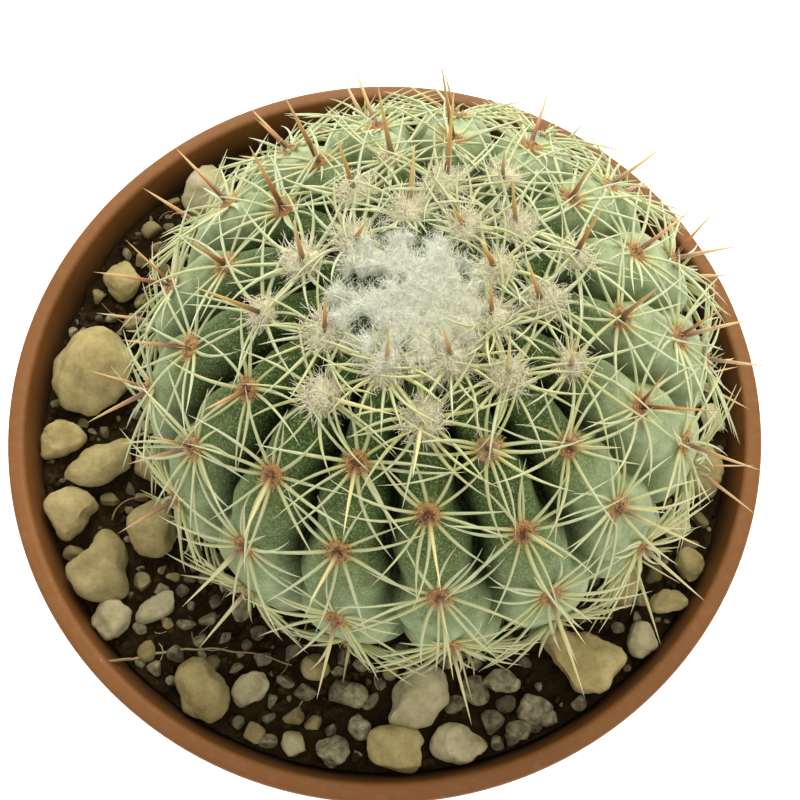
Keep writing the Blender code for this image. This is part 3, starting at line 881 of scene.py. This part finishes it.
def build_radials():
    rng = random_for("radials")
    spines = []
    for rib, _, arc, (point, normal, down, side) in AREOLES:
        grown = float(smooth(arc, 3 * MM, 15 * MM))
        stout = 1 if INNER_ARC <= arc <= LOWEST_ARC else STOUTER
        count = RADIALS + int(rng.integers(-1, 2))
        count += sum(more for nearest, furthest, more in MORE_RADIALS if nearest < arc < furthest)
        start = rng.uniform(-0.12, 0.12)
        for number in range(count):
            around = TURN * (number + 0.5) / count + start + rng.uniform(-0.2, 0.2)
            rise = math.radians(rng.uniform(*RADIAL_RISE) + YOUNG_RISE * (1 - grown))
            spread = swung(around, down, side)
            upper = max(0.0, -math.cos(around))
            shorter = (1 - 0.28 * upper**2) * (1 - 0.45 * upper * (1 - grown)) * (0.6 + 0.4 * grown)
            length = RADIAL_LENGTH * rng.uniform(0.82, 1.16) * shorter
            sideways = swung(around, side, -down)
            hook = rng.choice((-1, 1)) * rng.uniform(0.03, 0.36) ** 1.2 * (1.3 + 1.2 * (1 - grown))
            bend = length * (hook * sideways - rng.uniform(0.08, 0.2) * normal)
            tone = rng.uniform(0.5, 1) if abs(rib) > 3 else rng.uniform(0.1, 0.8)
            tone *= 0.4 if arc > LOWEST_ARC else 1
            thickness = stout * rng.uniform(0.8, 1.15) * RADIAL_RADIUS
            youth = (1 - float(smooth(arc, 9 * MM, 21 * MM))) * rng.uniform(0.5, 1)
            root = point + SPINE_ROOT_RISE * normal + RADIAL_ROOT * spread
            spines.append((root, swung(rise, spread, normal), length, bend, thickness, tone, youth))
    old = (
        (0.0, (0.42, 0.24, 0.07)), (0.05, (0.52, 0.44, 0.18)), (0.15, (0.55, 0.56, 0.27)),
        (0.6, (0.57, 0.59, 0.34)), (1.0, (0.56, 0.53, 0.33)),
    )
    fresh = ((0.0, (0.46, 0.40, 0.13)), (0.2, (0.56, 0.56, 0.20)), (1.0, (0.62, 0.62, 0.31)))
    look = spine_material("radial_spines", old, fresh, (0.55, 0.61, 0.43), 0.04)
    add_spines(
        "radial_spines", spines, RADIAL_STEPS, RADIAL_SIDES,
        lambda share: np.maximum(0.05, (1 - share**1.9) ** 0.85), look,
    )


def central_slope(arc):
    """How far a central spine leans down the rib: towards the crown at the top, outward lower down."""
    least, most = CENTRAL_SLOPES
    return math.radians(min(most, max(least, least + SLOPE_PER_MM * (arc / MM - SLOPE_FROM))))


def photo_ray(pixel):
    """Where the camera is, and the way to a pixel of the photo."""
    place, right, up, back = camera_axes()
    reach = math.tan(CAMERA_VIEW / 2) / HALF_PHOTO
    way = right * (pixel[0] - HALF_PHOTO) * reach - up * (pixel[1] - HALF_PHOTO) * reach - back
    return np.array(place), unit(np.array(way))


def photo_pixels(points):
    """The photo's pixels (across, down) in which points are seen."""
    place, right, up, back = camera_axes()
    ways = points - np.array(place)
    reach = HALF_PHOTO / math.tan(CAMERA_VIEW / 2) / -(ways @ np.array(back))
    return HALF_PHOTO + reach * (ways @ np.array(right)), HALF_PHOTO - reach * (ways @ np.array(up))


def on_level(pixel, height):
    """The place (x, y) at this height that the photo shows at the pixel."""
    start, way = photo_ray(pixel)
    return (start + way * (height - start[2]) / way[2])[:2]


def toward_tip(root, length, pixel, guess):
    """The spine's direction and length with which it ends at the pixel, on the side of the guess."""
    into_plant = PLANT.inverted()
    start, way = photo_ray(pixel)
    start, way = transformed(into_plant, start), turned(into_plant, way)
    nearest = start + ((root - start) @ way) * way
    missing = float(np.linalg.norm(nearest - root))
    if missing >= length:
        return unit(nearest - root), min(missing, LONGEST_SHARE * length)
    depth = math.sqrt(length**2 - missing**2)
    choices = [unit(nearest + sign * depth * way - root) for sign in (-1, 1)]
    return max(choices, key=lambda choice: choice @ guess), length


def build_centrals():
    rng = random_for("centrals")
    spines = []
    for rib, order, arc, (point, normal, down, side) in AREOLES:
        grown = float(smooth(arc, 2 * MM, 15 * MM))
        pair = arc > WOOLLY_ARC and rng.uniform() < TWIN_CHANCE
        for twin in range(1 + pair):
            slope = central_slope(arc) + (TWIN_SLOPE if twin else 0)
            sway = math.radians(10 * min(3, max(-3, rib)) / 3 * 1.6 + rng.uniform(-6, 6))
            direction = swung(slope, swung(sway, normal, side), down)
            root = point + SPINE_ROOT_RISE * normal
            length = CENTRAL_LENGTH * rng.uniform(0.9, 1.04) * (0.32 + 0.68 * grown)
            length *= TWIN_LENGTH if twin else 1
            if abs(rib) > 5:
                length *= BACK_CENTRAL_SHARE
            if not twin and (rib, order) in CENTRAL_TIPS:
                direction, length = toward_tip(root, length, CENTRAL_TIPS[rib, order], direction)
            bend = length * (rng.uniform(-0.03, 0.03) * side + rng.uniform(-0.03, 0.02) * normal)
            tone = rng.uniform(0.75, 1) if abs(rib) < 3 and order > 0 else rng.uniform(0, 0.35)
            slim = 0.85 if -2 < rib < 4 else 1
            thickness = CENTRAL_RADIUS * slim * rng.uniform(0.88, 1.08) * (TWIN_RADIUS if twin else 1)
            youth = (0.4 if abs(rib) < 4 else 1) * (1 - float(smooth(arc, 12 * MM, 20 * MM)))
            spines.append((root, direction, length, bend, thickness, tone, youth))
    old = (
        (0.0, (0.08, 0.016, 0.007)), (0.27, (0.20, 0.042, 0.014)), (0.43, (0.46, 0.17, 0.050)),
        (0.62, (0.64, 0.37, 0.150)), (0.85, (0.62, 0.38, 0.21)), (1.0, (0.30, 0.19, 0.14)),
    )
    fresh = (
        (0.0, (0.05, 0.014, 0.007)), (0.22, (0.17, 0.045, 0.016)), (0.42, (0.50, 0.20, 0.045)),
        (0.66, (0.68, 0.42, 0.105)), (1.0, (0.66, 0.50, 0.21)),
    )
    look = spine_material("central_spines", old, fresh, (0.69, 0.65, 0.36), 0.06)
    add_spines(
        "central_spines", spines, CENTRAL_STEPS, CENTRAL_SIDES,
        lambda share: np.maximum(0.04, (1 - share) ** 0.66), look,
    )


# Felt and wool


def woolly(arc):
    """From 1 at the crown to 0 on the older areoles, whose wool has worn to brown felt."""
    return float(1 - smooth(arc, *WOOL_WEARS))


def blob(point, normal, down, side, size, high, seed):
    """A lumpy cushion that sinks into the skin, and how near to its rim each point is."""
    level = np.linspace(0.06, math.pi - 0.06, FELT_ROWS)[:, None]
    around = (np.arange(FELT_COLUMNS) * TURN / FELT_COLUMNS)[None, :]
    rim = np.sin(level) + 0 * around
    local = ring(rim, around, np.cos(level))
    lumps = 1 + 0.3 * noise_of(local, 0.45, seed) + 0.2 * noise_of(local, 0.2, seed)
    local = local * lumps[..., None] * np.array((1.12 * size, size, high))
    centre = point + FELT_RISE * normal
    points = centre + local[..., :1] * down + local[..., 1:2] * side + local[..., 2:] * normal
    return points.reshape(-1, 3), rim.ravel(), closed_form(FELT_ROWS, FELT_COLUMNS)


def build_felt():
    """The small cushion of each areole, brown on the older ones and woolly on the younger ones."""
    points, rims, quads, caps, wool = [], [], [], [], []
    for seed, (_, _, arc, crest) in enumerate(AREOLES):
        young = woolly(arc)
        size = (0.95 + 0.5 * young) * MM
        high = (0.5 + 0.45 * young) * MM
        made, rim, faces = blob(*crest, size, high, seed)
        quads.append(faces[0] + seed * len(made))
        caps += [cap + seed * len(made) for cap in faces[1:]]
        points.append(made)
        rims.append(rim)
        wool.append(np.full(len(made), min(1, 1.6 * young)))
    look = felt_material(
        "areole_felt", (0.07, 0.020, 0.008), (0.28, 0.090, 0.030), (0.56, 0.28, 0.095), (0.42, 0.38, 0.22),
        (0.88, 0.86, 0.62),
    )
    faces = [np.concatenate(quads), np.concatenate(caps)]
    add_piece(
        "areole_felt", transformed(PLANT, np.concatenate(points)), faces, look,
        values={"wool": np.concatenate(wool), "rim": np.concatenate(rims)},
    )


def hair_tufts(rng, choose):
    """Short fibres on each areole. Choose gives (count, length, spread, height, tangle) for an arc."""
    parts = []
    for _, _, arc, (point, normal, down, side) in AREOLES:
        count, length, spread, height, tangle = choose(arc)
        if count < 1:
            continue
        around = rng.uniform(0, TURN, count)
        reach = np.sqrt(rng.uniform(0, 1, count))
        ways = swung(around[:, None], down, side)
        tilt = np.radians(rng.uniform(0, 55, count) * 0.45 + 62 * reach)[:, None]
        dome = height * np.sqrt(1 - 0.9 * reach**2) * rng.uniform(0.5, 1, count)
        roots = point + ways * (reach * spread)[:, None] + normal * dome[:, None]
        outward = swung(tilt, normal, ways)
        directions = unit((1 - tangle) * outward + tangle * unit(rng.normal(size=outward.shape)))
        parts.append((roots, directions, length * rng.uniform(0.55, 1.15, count)))
    return (np.concatenate(values) for values in zip(*parts))


def add_hairs(name, rng, parts, radius, curl, steps, look, tones=None):
    """Hairs that wander off their way towards the tip."""
    roots, directions, lengths = parts
    share = np.linspace(0, 1, steps)[None, :, None]
    drift = unit(rng.normal(size=roots.shape))[:, None] * (curl * lengths)[:, None, None]
    turn = unit(rng.normal(size=roots.shape))[:, None] * (0.5 * curl * lengths)[:, None, None]
    paths = roots[:, None] + directions[:, None] * lengths[:, None, None] * share
    paths = transformed(PLANT, paths + drift * share**2 + turn * np.sin(math.pi * share))
    radii = np.full((len(roots), 1), radius) * np.linspace(1, 0.35, steps)[None, :]
    traits = {"tone": rng.uniform(0, 1, len(roots)) if tones is None else tones}
    add_strands(name, paths, radii, 3, traits, look)


def build_bristles():
    """Brown fibres round the spines of the older areoles."""
    rng = random_for("bristles")

    def choose(arc):
        return int(BRISTLES * (1 - woolly(arc))), BRISTLE_LENGTH, 1.1 * MM, 0.4 * MM, 0.5

    look = hair_material("areole_bristles", (0.34, 0.150, 0.055), (0.78, 0.52, 0.235), (0.84, 0.72, 0.44))
    add_hairs("areole_bristles", rng, hair_tufts(rng, choose), HAIR_RADIUS, 0.5, 3, look)


def build_tufts():
    """Beige-white wool round the younger areoles."""
    rng = random_for("tufts")

    def choose(arc):
        young = woolly(arc)
        return int(TUFT_HAIRS * young**1.2), TUFT_LENGTH, (0.95 + 0.7 * young) * MM, 1.0 * MM * young, 0.55

    look = hair_material("tuft_wool", (0.95, 0.905, 0.67), (1.0, 0.965, 0.83), (0.98, 0.91, 0.75))
    add_hairs("tuft_wool", rng, hair_tufts(rng, choose), HAIR_RADIUS, 0.7, 4, look)


def crown_skin(away, around):
    """The skin and its outward direction at places round the wool's middle, in the plant's own frame."""
    x = WOOL_CENTRE.x + away * np.cos(around)
    y = WOOL_CENTRE.y + away * np.sin(around)
    angle = np.arcsin(np.clip(np.hypot(x, y) / BODY_RADIUS, 0, 1))
    column = ((np.arctan2(y, x) - FIRST_RIB - RIB_TWIST * (angle - 1)) / TURN * RIBS) % RIBS
    arc = np.interp(angle, ANGLES, ARCS)
    return skin_points(column, arc)[0], crest_frame(column, arc)[1]


def wool_cover(skin):
    """From 1 in the dense wool to 0 in its ragged gaps and beyond its edge, and how thick the wool is."""
    places = skin * (1, 1, 0)
    away = np.hypot(skin[..., 0] - WOOL_CENTRE.x, skin[..., 1] - WOOL_CENTRE.y)
    edge = smooth(away, 0.5 * WOOL_RADIUS, WOOL_RADIUS)
    small = noise_of(places, 0.8 * MM, 6)
    patches = 0.9 * noise_of(places, 1.9 * MM, 3) + 0.6 * small
    cover = smooth(0.65 * patches + 0.75 - 1.05 * edge, 0, 0.3)
    cover = cover * (1 - smooth(away, WOOL_RADIUS, 1.06 * WOOL_RADIUS))
    across, down = photo_pixels(transformed(PLANT, skin))
    for left, top, wide, high in WOOL_GAPS:
        near = np.hypot((across - left) / wide, (down - top) / high)
        cover = cover * smooth(near + 0.9 * small, 0.8, 1.25)
    return cover, WOOL_THICKNESS * cover * (1 + 0.35 * patches)


def build_wool_mat():
    """The dense mat under the loose hairs of the crown."""
    away = (np.arange(1, WOOL_RINGS + 1) / WOOL_RINGS * 1.05 * WOOL_RADIUS)[:, None]
    around = (np.arange(WOOL_COLUMNS) * TURN / WOOL_COLUMNS)[None, :]
    skin, normal = crown_skin(away, around)
    cover, thickness = wool_cover(skin)
    height = thickness - WOOL_GAP_SINK * (1 - cover)
    height[-1] = -WOOL_EDGE_SINK
    under = skin[::-1] - WOOL_MAT_DEPTH * normal[::-1]
    points = np.concatenate((skin + height[..., None] * normal, under))
    pale = (0.62, 0.66, 0.54), (0.89, 0.93, 0.81)
    grid = points.shape[:2]
    add_piece(
        "crown_wool_mat", transformed(PLANT, points), closed_form(*grid),
        felt_material("wool_mat", *pale, pale[1], *pale),
        values={"wool": np.ones(grid), "rim": np.zeros(grid)},
    )


def build_crown_wool():
    """Short loose hairs over the mat, and a few stray ones in its gaps."""
    rng = random_for("crown")
    away = 1.2 * WOOL_RADIUS * np.sqrt(rng.uniform(0, 1, CROWN_HAIR_TRIES))
    around = rng.uniform(0, TURN, CROWN_HAIR_TRIES)
    skin, normal = crown_skin(away, around)
    cover, thickness = wool_cover(skin)
    out = smooth(away, 0.6 * WOOL_RADIUS, 0.95 * WOOL_RADIUS)
    stray = rng.uniform(0, 1, CROWN_HAIR_TRIES) < STRAY_CHANCE * (1 - out)
    dense = cover > DENSE_COVER
    keep = np.flatnonzero(dense | stray)[:CROWN_HAIRS]
    lifted = np.where(dense, thickness - 0.15 * MM, rng.uniform(0, 0.7, CROWN_HAIR_TRIES) * MM)
    roots = (skin + lifted[:, None] * normal)[keep]
    normal = normal[keep]
    flat = unit(np.cross(normal, unit(rng.normal(size=normal.shape))))
    tilt = np.radians(rng.uniform(25, 85, len(roots)))[:, None]
    lengths = rng.uniform(0.4, 1.2, len(roots)) * MM
    look = hair_material("crown_wool", (0.82, 0.87, 0.75), (0.98, 1.0, 0.94), (0.95, 0.93, 0.64))
    front = smooth(roots[:, 0] - roots[:, 1], 1 * MM, 8 * MM)
    tones = np.clip(rng.uniform(0, 0.5, len(roots)) + front, 0, 1)
    hairs = roots, swung(tilt, normal, flat), lengths
    add_hairs("crown_wool", rng, hairs, CROWN_HAIR_RADIUS, 0.5, 3, look, tones)


# Soil, gravel and stones


def soil_heights(x, y):
    flat = np.stack((x, y, np.zeros_like(x)), axis=-1)
    small = noise_of(flat + np.array((0, 0, 5 * MM)), 3.5 * MM)
    return SOIL_LEVEL + SOIL_ROUGHNESS * (noise_of(flat, 9 * MM) + 0.35 * small)


def plant_ring(angle, around):
    """A ring round the plant's foot, a little outside its form."""
    radius = (BODY_RADIUS + SEAT_MARGIN) * math.sin(angle)
    return transformed(PLANT, ring(radius, around, (BODY_HALF_HEIGHT + SEAT_MARGIN) * math.cos(angle)))


def build_soil():
    """Soil round the plant's foot, with the plain hole that the plant stands in."""
    around = np.arange(SOIL_SIDES) * TURN / SOIL_SIDES
    meets = math.acos((SOIL_LEVEL - BODY_CENTRE.z) / (BODY_HALF_HEIGHT + SEAT_MARGIN))
    rows = []
    for depth in (0.98, 0.5):
        neck = ring(ROOT_RADIUS + SEAT_MARGIN, around, -BODY_HALF_HEIGHT - ROOT_DEPTH * depth)
        rows.append(transformed(PLANT, neck))
    for step in range(9, 0, -1):
        rows.append(plant_ring(meets + (math.pi - 0.2 - meets) * step / 9, around))
    inner = plant_ring(meets, around)[None, :, :2]
    outer = ring(inner_radius(SOIL_LEVEL) - GAP, around, 0)[None, :, :2]
    share = np.linspace(0, 1, SOIL_RINGS)[:, None, None]
    flat = inner * (1 - share) + outer * share
    height = soil_heights(flat[..., 0], flat[..., 1])
    bumps = np.concatenate((flat, height[..., None]), axis=-1)
    height = height + SOIL_LUMPS * noise_of(bumps, 1.6 * MM, 7) + SOIL_CRUMBS * noise_of(bumps, 0.7 * MM, 8)
    rows += list(np.concatenate((flat, height[..., None]), axis=-1))
    for level in (0.66, 0.33, 0.0):
        z = FLOOR_THICKNESS + GAP + (SOIL_LEVEL - FLOOR_THICKNESS) * level
        rows.append(ring(inner_radius(z) - GAP, around, z))
    look = soil_material("potting_soil", (0.018, 0.010, 0.003), (0.075, 0.045, 0.018))
    soil = add_piece("soil_bed", rows, closed_form(len(rows), SOIL_SIDES), look)
    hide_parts("soil")


def grain_forms(rng, fineness):
    """A few chipped grains about one unit across, to be copied with random turns."""
    forms = []
    for _ in range(GRAIN_FORMS):
        builder = bmesh.new()
        bmesh.ops.create_icosphere(builder, subdivisions=fineness, radius=1.0)
        for _ in range(GRAIN_CHIPS):
            normal = Vector(rng.normal(size=3)).normalized()
            level = rng.uniform(0.45, 0.8)
            for vertex in builder.verts:
                beyond = vertex.co.dot(normal) - level
                if beyond > 0:
                    vertex.co -= 0.95 * beyond * normal
        forms.append(mesh_arrays(builder))
        builder.free()
    return forms


def mesh_arrays(builder):
    points = np.array([vertex.co for vertex in builder.verts])
    return points, np.array([[vertex.index for vertex in face.verts] for face in builder.faces])


def add_grains(name, rng, places, fineness, look, smooth_faces=False):
    """Chipped grains at (x, y, size, height) places."""
    forms = grain_forms(rng, fineness)
    points, faces, shades = [], [], []
    for number, (x, y, size, height) in enumerate(places):
        form, form_faces = forms[number % GRAIN_FORMS]
        turn = Matrix.Rotation(rng.uniform(0, TURN), 3, unit(rng.normal(size=3)))
        shape = size * np.array((1, rng.uniform(0.65, 1), rng.uniform(0.55, 0.9)))
        points.append((form * shape) @ np.array(turn).T + np.array((x, y, height)))
        faces.append(form_faces + number * len(form))
        shades.append(np.full(len(form), rng.uniform(0.4, 1.05)))
    add_piece(
        name, np.concatenate(points), [np.concatenate(faces)], look, smooth=smooth_faces,
        values={"shade": np.concatenate(shades)},
    )


def on_open_soil(x, y, size):
    """Whether a grain of this size lies clear of the pot, the plant's foot and the stones."""
    if math.hypot(x, y) > inner_radius(SOIL_LEVEL) - size - GAP:
        return False
    if math.hypot(x - BODY_CENTRE.x, y - BODY_CENTRE.y) < PLANT_MARGIN + size:
        return False
    for centre, half in STONE_FORMS:
        across = (x - centre.x) / (half.x + 0.6 * size)
        along = (y - centre.y) / (half.y + 0.6 * size)
        if across**2 + along**2 < 1:
            return False
    return True


def soil_under(x, y):
    return float(soil_heights(np.array([x]), np.array([y]))[0])


def scatter(name, rng, grains, fineness, look, clear_of=None, sector=(0, TURN)):
    """Grains on the open soil, apart from those that clear_of lists, which they then join."""
    count, sizes, sink = grains
    placed = []
    tries = 0
    while len(placed) < count and tries < TRIES_EACH * count:
        tries += 1
        size = rng.uniform(sizes[0] * MM, sizes[1] * MM)
        away = math.sqrt(rng.uniform(GRAIN_RANGE[0] ** 2, GRAIN_RANGE[1] ** 2)) * MM
        around = sector[0] + sector[1] * rng.uniform(0, 1)
        x, y = away * math.cos(around), away * math.sin(around)
        if not on_open_soil(x, y, size):
            continue
        if clear_of is not None:
            if any(math.hypot(x - a, y - b) < 0.85 * (size + c) for a, b, c in clear_of):
                continue
            clear_of.append((x, y, size))
        placed.append((x, y, size, soil_under(x, y) + sink * size))
    add_grains(name, rng, placed, fineness, look)


def seen_gravel(pixels, taken):
    """Gravel at pixels of the photo, half sunk in the soil."""
    places = []
    for across, down, radius in pixels:
        size = radius * MM
        x, y = (float(value) for value in on_level((across, down), SOIL_LEVEL + 0.5 * size))
        inward = min(1, (inner_radius(SOIL_LEVEL) - size - GAP) / math.hypot(x, y))
        x, y = x * inward, y * inward
        taken.append((x, y, size))
        places.append((x, y, size, soil_under(x, y) + 0.45 * size))
    return places


def build_grains():
    rng = random_for("grains")
    taken = []
    tan = stone_material("tan_grit", (0.245, 0.20, 0.093), (0.42, 0.347, 0.178), (0.6, 0.5, 0.36))
    grey = stone_material(
        "grey_grit", (0.13, 0.115, 0.070), (0.48, 0.43, 0.28), (0.5, 0.47, 0.4), 0.9 * MM, 0.5,
    )
    dark = soil_material("soil_crumbs", (0.024, 0.014, 0.005), (0.120, 0.074, 0.030))
    add_grains("tan_gravel", rng, seen_gravel(TAN_GRAVEL, taken), 3, tan, True)
    add_grains("grey_gravel", rng, seen_gravel(GREY_GRAVEL, taken), 3, grey, True)
    scatter("front_gravel", rng, FRONT_GRAVEL, 3, grey, taken, FRONT_SECTOR)
    scatter("tan_grit", rng, TAN_GRAINS, 3, tan, taken)
    scatter("grey_grit", rng, GREY_GRAINS, 2, grey, taken)
    scatter("soil_crumbs", rng, CRUMBS, 1, dark)


def chipped(points, rng, chips, flatter):
    """Flat facets worn into a lump, each a little inside its rounded form."""
    centre = (points.min(0) + points.max(0)) / 2
    half = (points.max(0) - points.min(0)) / 2
    local = (points - centre) / half
    for _ in range(chips):
        normal = unit(rng.normal(size=3) * (1, 1, flatter))
        beyond = local @ normal - rng.uniform(*CHIP_LEVELS)
        local = local - CHIP_DEPTH * np.clip(beyond, 0, None)[:, None] * normal
    return centre + local * half


def outlined(points, pixels):
    """The stone's points moved sideways until its outline is the one in the photo."""
    centre = (points.min(0) + points.max(0)) / 2
    half = (points.max(0) - points.min(0))[:2] / 2
    outline = np.array([on_level(pixel, centre[2]) for pixel in pixels])
    ways = (outline - (outline.min(0) + outline.max(0)) / 2) / half
    local = (points[:, :2] - centre[:2]) / half
    around = np.arctan2(local[:, 1], local[:, 0])
    given = np.arctan2(ways[:, 1], ways[:, 0])
    reach = np.interp(around, given, np.hypot(ways[:, 0], ways[:, 1]), period=TURN)
    sectors = np.linspace(-math.pi, math.pi, OUTLINE_SECTORS + 1)
    away = np.hypot(local[:, 0], local[:, 1])
    own = [away[(around >= low) & (around < high)].max() for low, high in zip(sectors[:-1], sectors[1:])]
    widest = np.interp(around, (sectors[:-1] + sectors[1:]) / 2, own, period=TURN)
    moved = centre[:2] + local * half * np.clip(reach / widest, *OUTLINE_CHANGE)[:, None]
    limit = INNER_TOP - 1.0 * MM
    moved *= np.minimum(1, limit / np.maximum(np.hypot(moved[:, 0], moved[:, 1]), MM))[:, None]
    return np.column_stack((moved, points[:, 2]))


def smooth_points(builder, rounds):
    for _ in range(rounds):
        bmesh.ops.smooth_vert(
            builder, verts=builder.verts, factor=0.5, use_axis_x=True, use_axis_y=True, use_axis_z=True,
        )


def build_stones():
    tones = {
        "tan_stone": ((0.33, 0.265, 0.120), (0.55, 0.465, 0.240), (0.64, 0.54, 0.40)),
        "pale_stone": ((0.39, 0.345, 0.21), (0.64, 0.58, 0.39), (0.60, 0.55, 0.45)),
        "grey_stone": ((0.13, 0.115, 0.070), (0.52, 0.47, 0.31), (0.5, 0.47, 0.40), 0.9 * MM, 0.5),
    }
    looks = {slot: stone_material(slot, *colours) for slot, colours in tones.items()}
    slots = {part["node"]: part["material_slot"] for part in frame["record"]["subparts"]}
    for number, node in enumerate(STONE_NODES):
        slot = slots[node]
        rng = random_for("stones", number)
        builder = bmesh.new()
        builder.from_mesh(frame["nodes"][node].data)
        bmesh.ops.remove_doubles(builder, verts=builder.verts, dist=0.001 * MM)
        bmesh.ops.subdivide_edges(builder, edges=builder.edges, cuts=3, use_grid_fill=True, smooth=0.6)
        smooth_points(builder, 3)
        points, _ = mesh_arrays(builder)
        if node in STONE_OUTLINES:
            points = outlined(chipped(points, rng, OUTLINED_CHIPS, 3.0), STONE_OUTLINES[node])
        else:
            points = chipped(points, rng, GREY_CHIPS if slot == "grey_stone" else SMOOTH_CHIPS, 0.7)
        for vertex, point in zip(builder.verts, points):
            vertex.co = point
        smooth_points(builder, 1)
        builder.normal_update()
        normals = np.array([vertex.normal for vertex in builder.verts])
        points, faces = mesh_arrays(builder)
        builder.free()
        rough = sum(high * noise_of(points, size, number) for high, size in STONE_LUMPS)
        # Each stone's own tone; on stone_20 the lightening is painted light
        shade = STONE_TONES_AND_PAINTED_LIGHT.get(node, rng.uniform(0.85, 1.05))
        stone = add_piece(
            f"{node}_worn", points + normals * rough[:, None], [faces], looks[slot],
            values={"shade": np.full(len(points), shade)},
        )
        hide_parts(node)


def add_fibres(name, paths, radii, sides, along, pale, tones):
    """Dry roots and old spines, with the colours along them, and some paler."""
    look = spine_material(name, along, along, pale, 0.0, 0.8)
    add_strands(name, paths, radii, sides, {"tone": tones, "young": 0 * tones}, look)


def build_dry_fibres():
    """Bits of dry root and old spines that lie on the soil."""
    rng = random_for("fibres")
    share = np.linspace(0, 1, FIBRE_STEPS)
    paths, thick = [], []
    while len(paths) < FIBRES:
        x, y = rng.uniform(-LIP_RADIUS, LIP_RADIUS, 2)
        length = rng.uniform(*FIBRE_LENGTHS) * MM
        heading = rng.uniform(0, TURN) + rng.uniform(-1.2, 1.2) * share
        along = x + length * share * np.cos(heading)
        beside = y + length * share * np.sin(heading)
        if not all(on_open_soil(a, b, 0.5 * MM) for a, b in zip(along, beside)):
            continue
        height = soil_heights(along, beside) + rng.uniform(0.5, 1.0) * MM
        paths.append(np.stack((along, beside, height), axis=-1))
        thick.append(rng.uniform(*FIBRE_RADII) * MM)
    radii = np.array(thick)[:, None] * (1 - 0.6 * share)[None, :]
    tones = rng.uniform(0, 1, FIBRES)
    along = (0, (0.20, 0.12, 0.05)), (1, (0.34, 0.24, 0.12))
    add_fibres("dry_fibres", np.array(paths), radii, 5, along, (0.50, 0.38, 0.20), tones)


def build_dry_root():
    """A thin dry root that lies over the soil and the stones at the left."""
    rng = random_for("dry root")
    given = np.array([on_level(pixel, DRY_ROOT_HEIGHT) for pixel in DRY_ROOT])
    share = np.linspace(0, 1, DRY_ROOT_STEPS)
    x, y = (np.interp(share, np.linspace(0, 1, len(given)), given[:, axis]) for axis in (0, 1))
    y = y + 0.25 * MM * noise_of(np.stack((x, y, np.zeros_like(x)), axis=-1), 2 * MM, 9)
    floor = floor_below(x * 0.97, y * 0.97)
    lifted = np.array([floor[max(0, place - 3):place + 4].max() for place in range(len(floor))])
    height = np.convolve(np.pad(lifted, 4, mode="edge"), np.ones(9) / 9, mode="valid") + 0.35 * MM
    path = np.stack((x, y, height), axis=-1)
    radii = DRY_ROOT_RADIUS * (1 - 0.55 * share) * rng.uniform(0.85, 1.1, len(share))
    along = (0, (0.34, 0.25, 0.14)), (1, (0.22, 0.14, 0.07))
    add_fibres("dry_root", path[None], radii[None], 8, along, (0.45, 0.34, 0.20), np.array([0.3]))


# Stage, light and camera


def add_light(name, location, energy):
    """A round lamp that points at the plant."""
    lamp = bpy.data.lights.new(name, "AREA")
    lamp.shape = "DISK"
    lamp.size = LAMP_WIDTH
    lamp.energy = energy
    lamp.color = DAYLIGHT
    holder = add_object(name, lamp)
    holder.location = location
    way = Vector((0, 0, POT_HEIGHT)) - Vector(location)
    holder.rotation_euler = way.to_track_quat("-Z", "Y").to_euler()


def build_floor():
    mesh = bpy.data.meshes.new("floor")
    corners = [(x * FLOOR_REACH, y * FLOOR_REACH, 0) for x, y in ((-1, -1), (1, -1), (1, 1), (-1, 1))]
    mesh.from_pydata(corners, [], [(0, 1, 2, 3)])
    floor = add_object("floor", mesh)
    floor.location.z = -0.05 * MM
    look, tree, shader = new_material("floor", 0.8)
    colour = ramp(tree, noise_at(tree, 60 * MM, 2), (0.3, (0.93, 0.93, 0.925)), (0.7, (0.96, 0.96, 0.955)))
    set_inputs(tree, shader, Base_Color=colour, Emission_Color=(1, 1, 0.99, 1), Emission_Strength=0.8)
    mesh.materials.append(look)


def build_light():
    """A room that is brighter at the back, a window behind the pot and a lamp in front."""
    world = bpy.data.worlds.new("studio")
    bpy.context.scene.world = world
    world.use_nodes = True
    tree = world.node_tree
    way = tree.nodes.new("ShaderNodeTexCoord").outputs["Generated"]
    facing = add_node(tree, "ShaderNodeSeparateXYZ", Vector=way).outputs["Y"]
    strength = add_node(
        tree, "ShaderNodeMapRange", Value=facing, From_Min=-1.0, To_Min=DIM_FRONT, To_Max=BRIGHT_BACK,
    )
    set_inputs(tree, tree.nodes["Background"], Color=ROOM_COLOUR, Strength=strength.outputs["Result"])
    add_light("window", WINDOW_PLACE, WINDOW_POWER)
    add_light("ceiling", CEILING_PLACE, CEILING_POWER)
    bpy.context.scene.view_settings.view_transform = "Standard"


def camera_axes():
    """The camera's place and its right, up and back directions."""
    back = Vector((0, -math.cos(CAMERA_ELEVATION), math.sin(CAMERA_ELEVATION)))
    right = Vector((1, 0, 0))
    up = back.cross(right)
    place = Vector((0, 0, POT_HEIGHT)) + back * CAMERA_DISTANCE + right * CAMERA_RIGHT + up * CAMERA_UP
    return place, right, up, back


def build_camera():
    place, right, up, back = camera_axes()
    lens = bpy.data.cameras.new("camera")
    camera = add_object("camera", lens)
    lens.sensor_width = SENSOR_WIDTH
    lens.lens = lens.sensor_width / 2 / math.tan(CAMERA_VIEW / 2)
    lens.clip_start = NEAREST_SEEN
    camera.matrix_world = Matrix.Translation(place) @ Matrix((right, up, back)).transposed().to_4x4()
    bpy.context.scene.camera = camera


build_camera()
build_floor()
build_light()
build_pot()
build_soil()
build_grains()
build_stones()
build_dry_root()
build_dry_fibres()
build_flesh()
build_felt()
build_bristles()
build_tufts()
build_wool_mat()
build_crown_wool()
build_radials()
build_centrals()
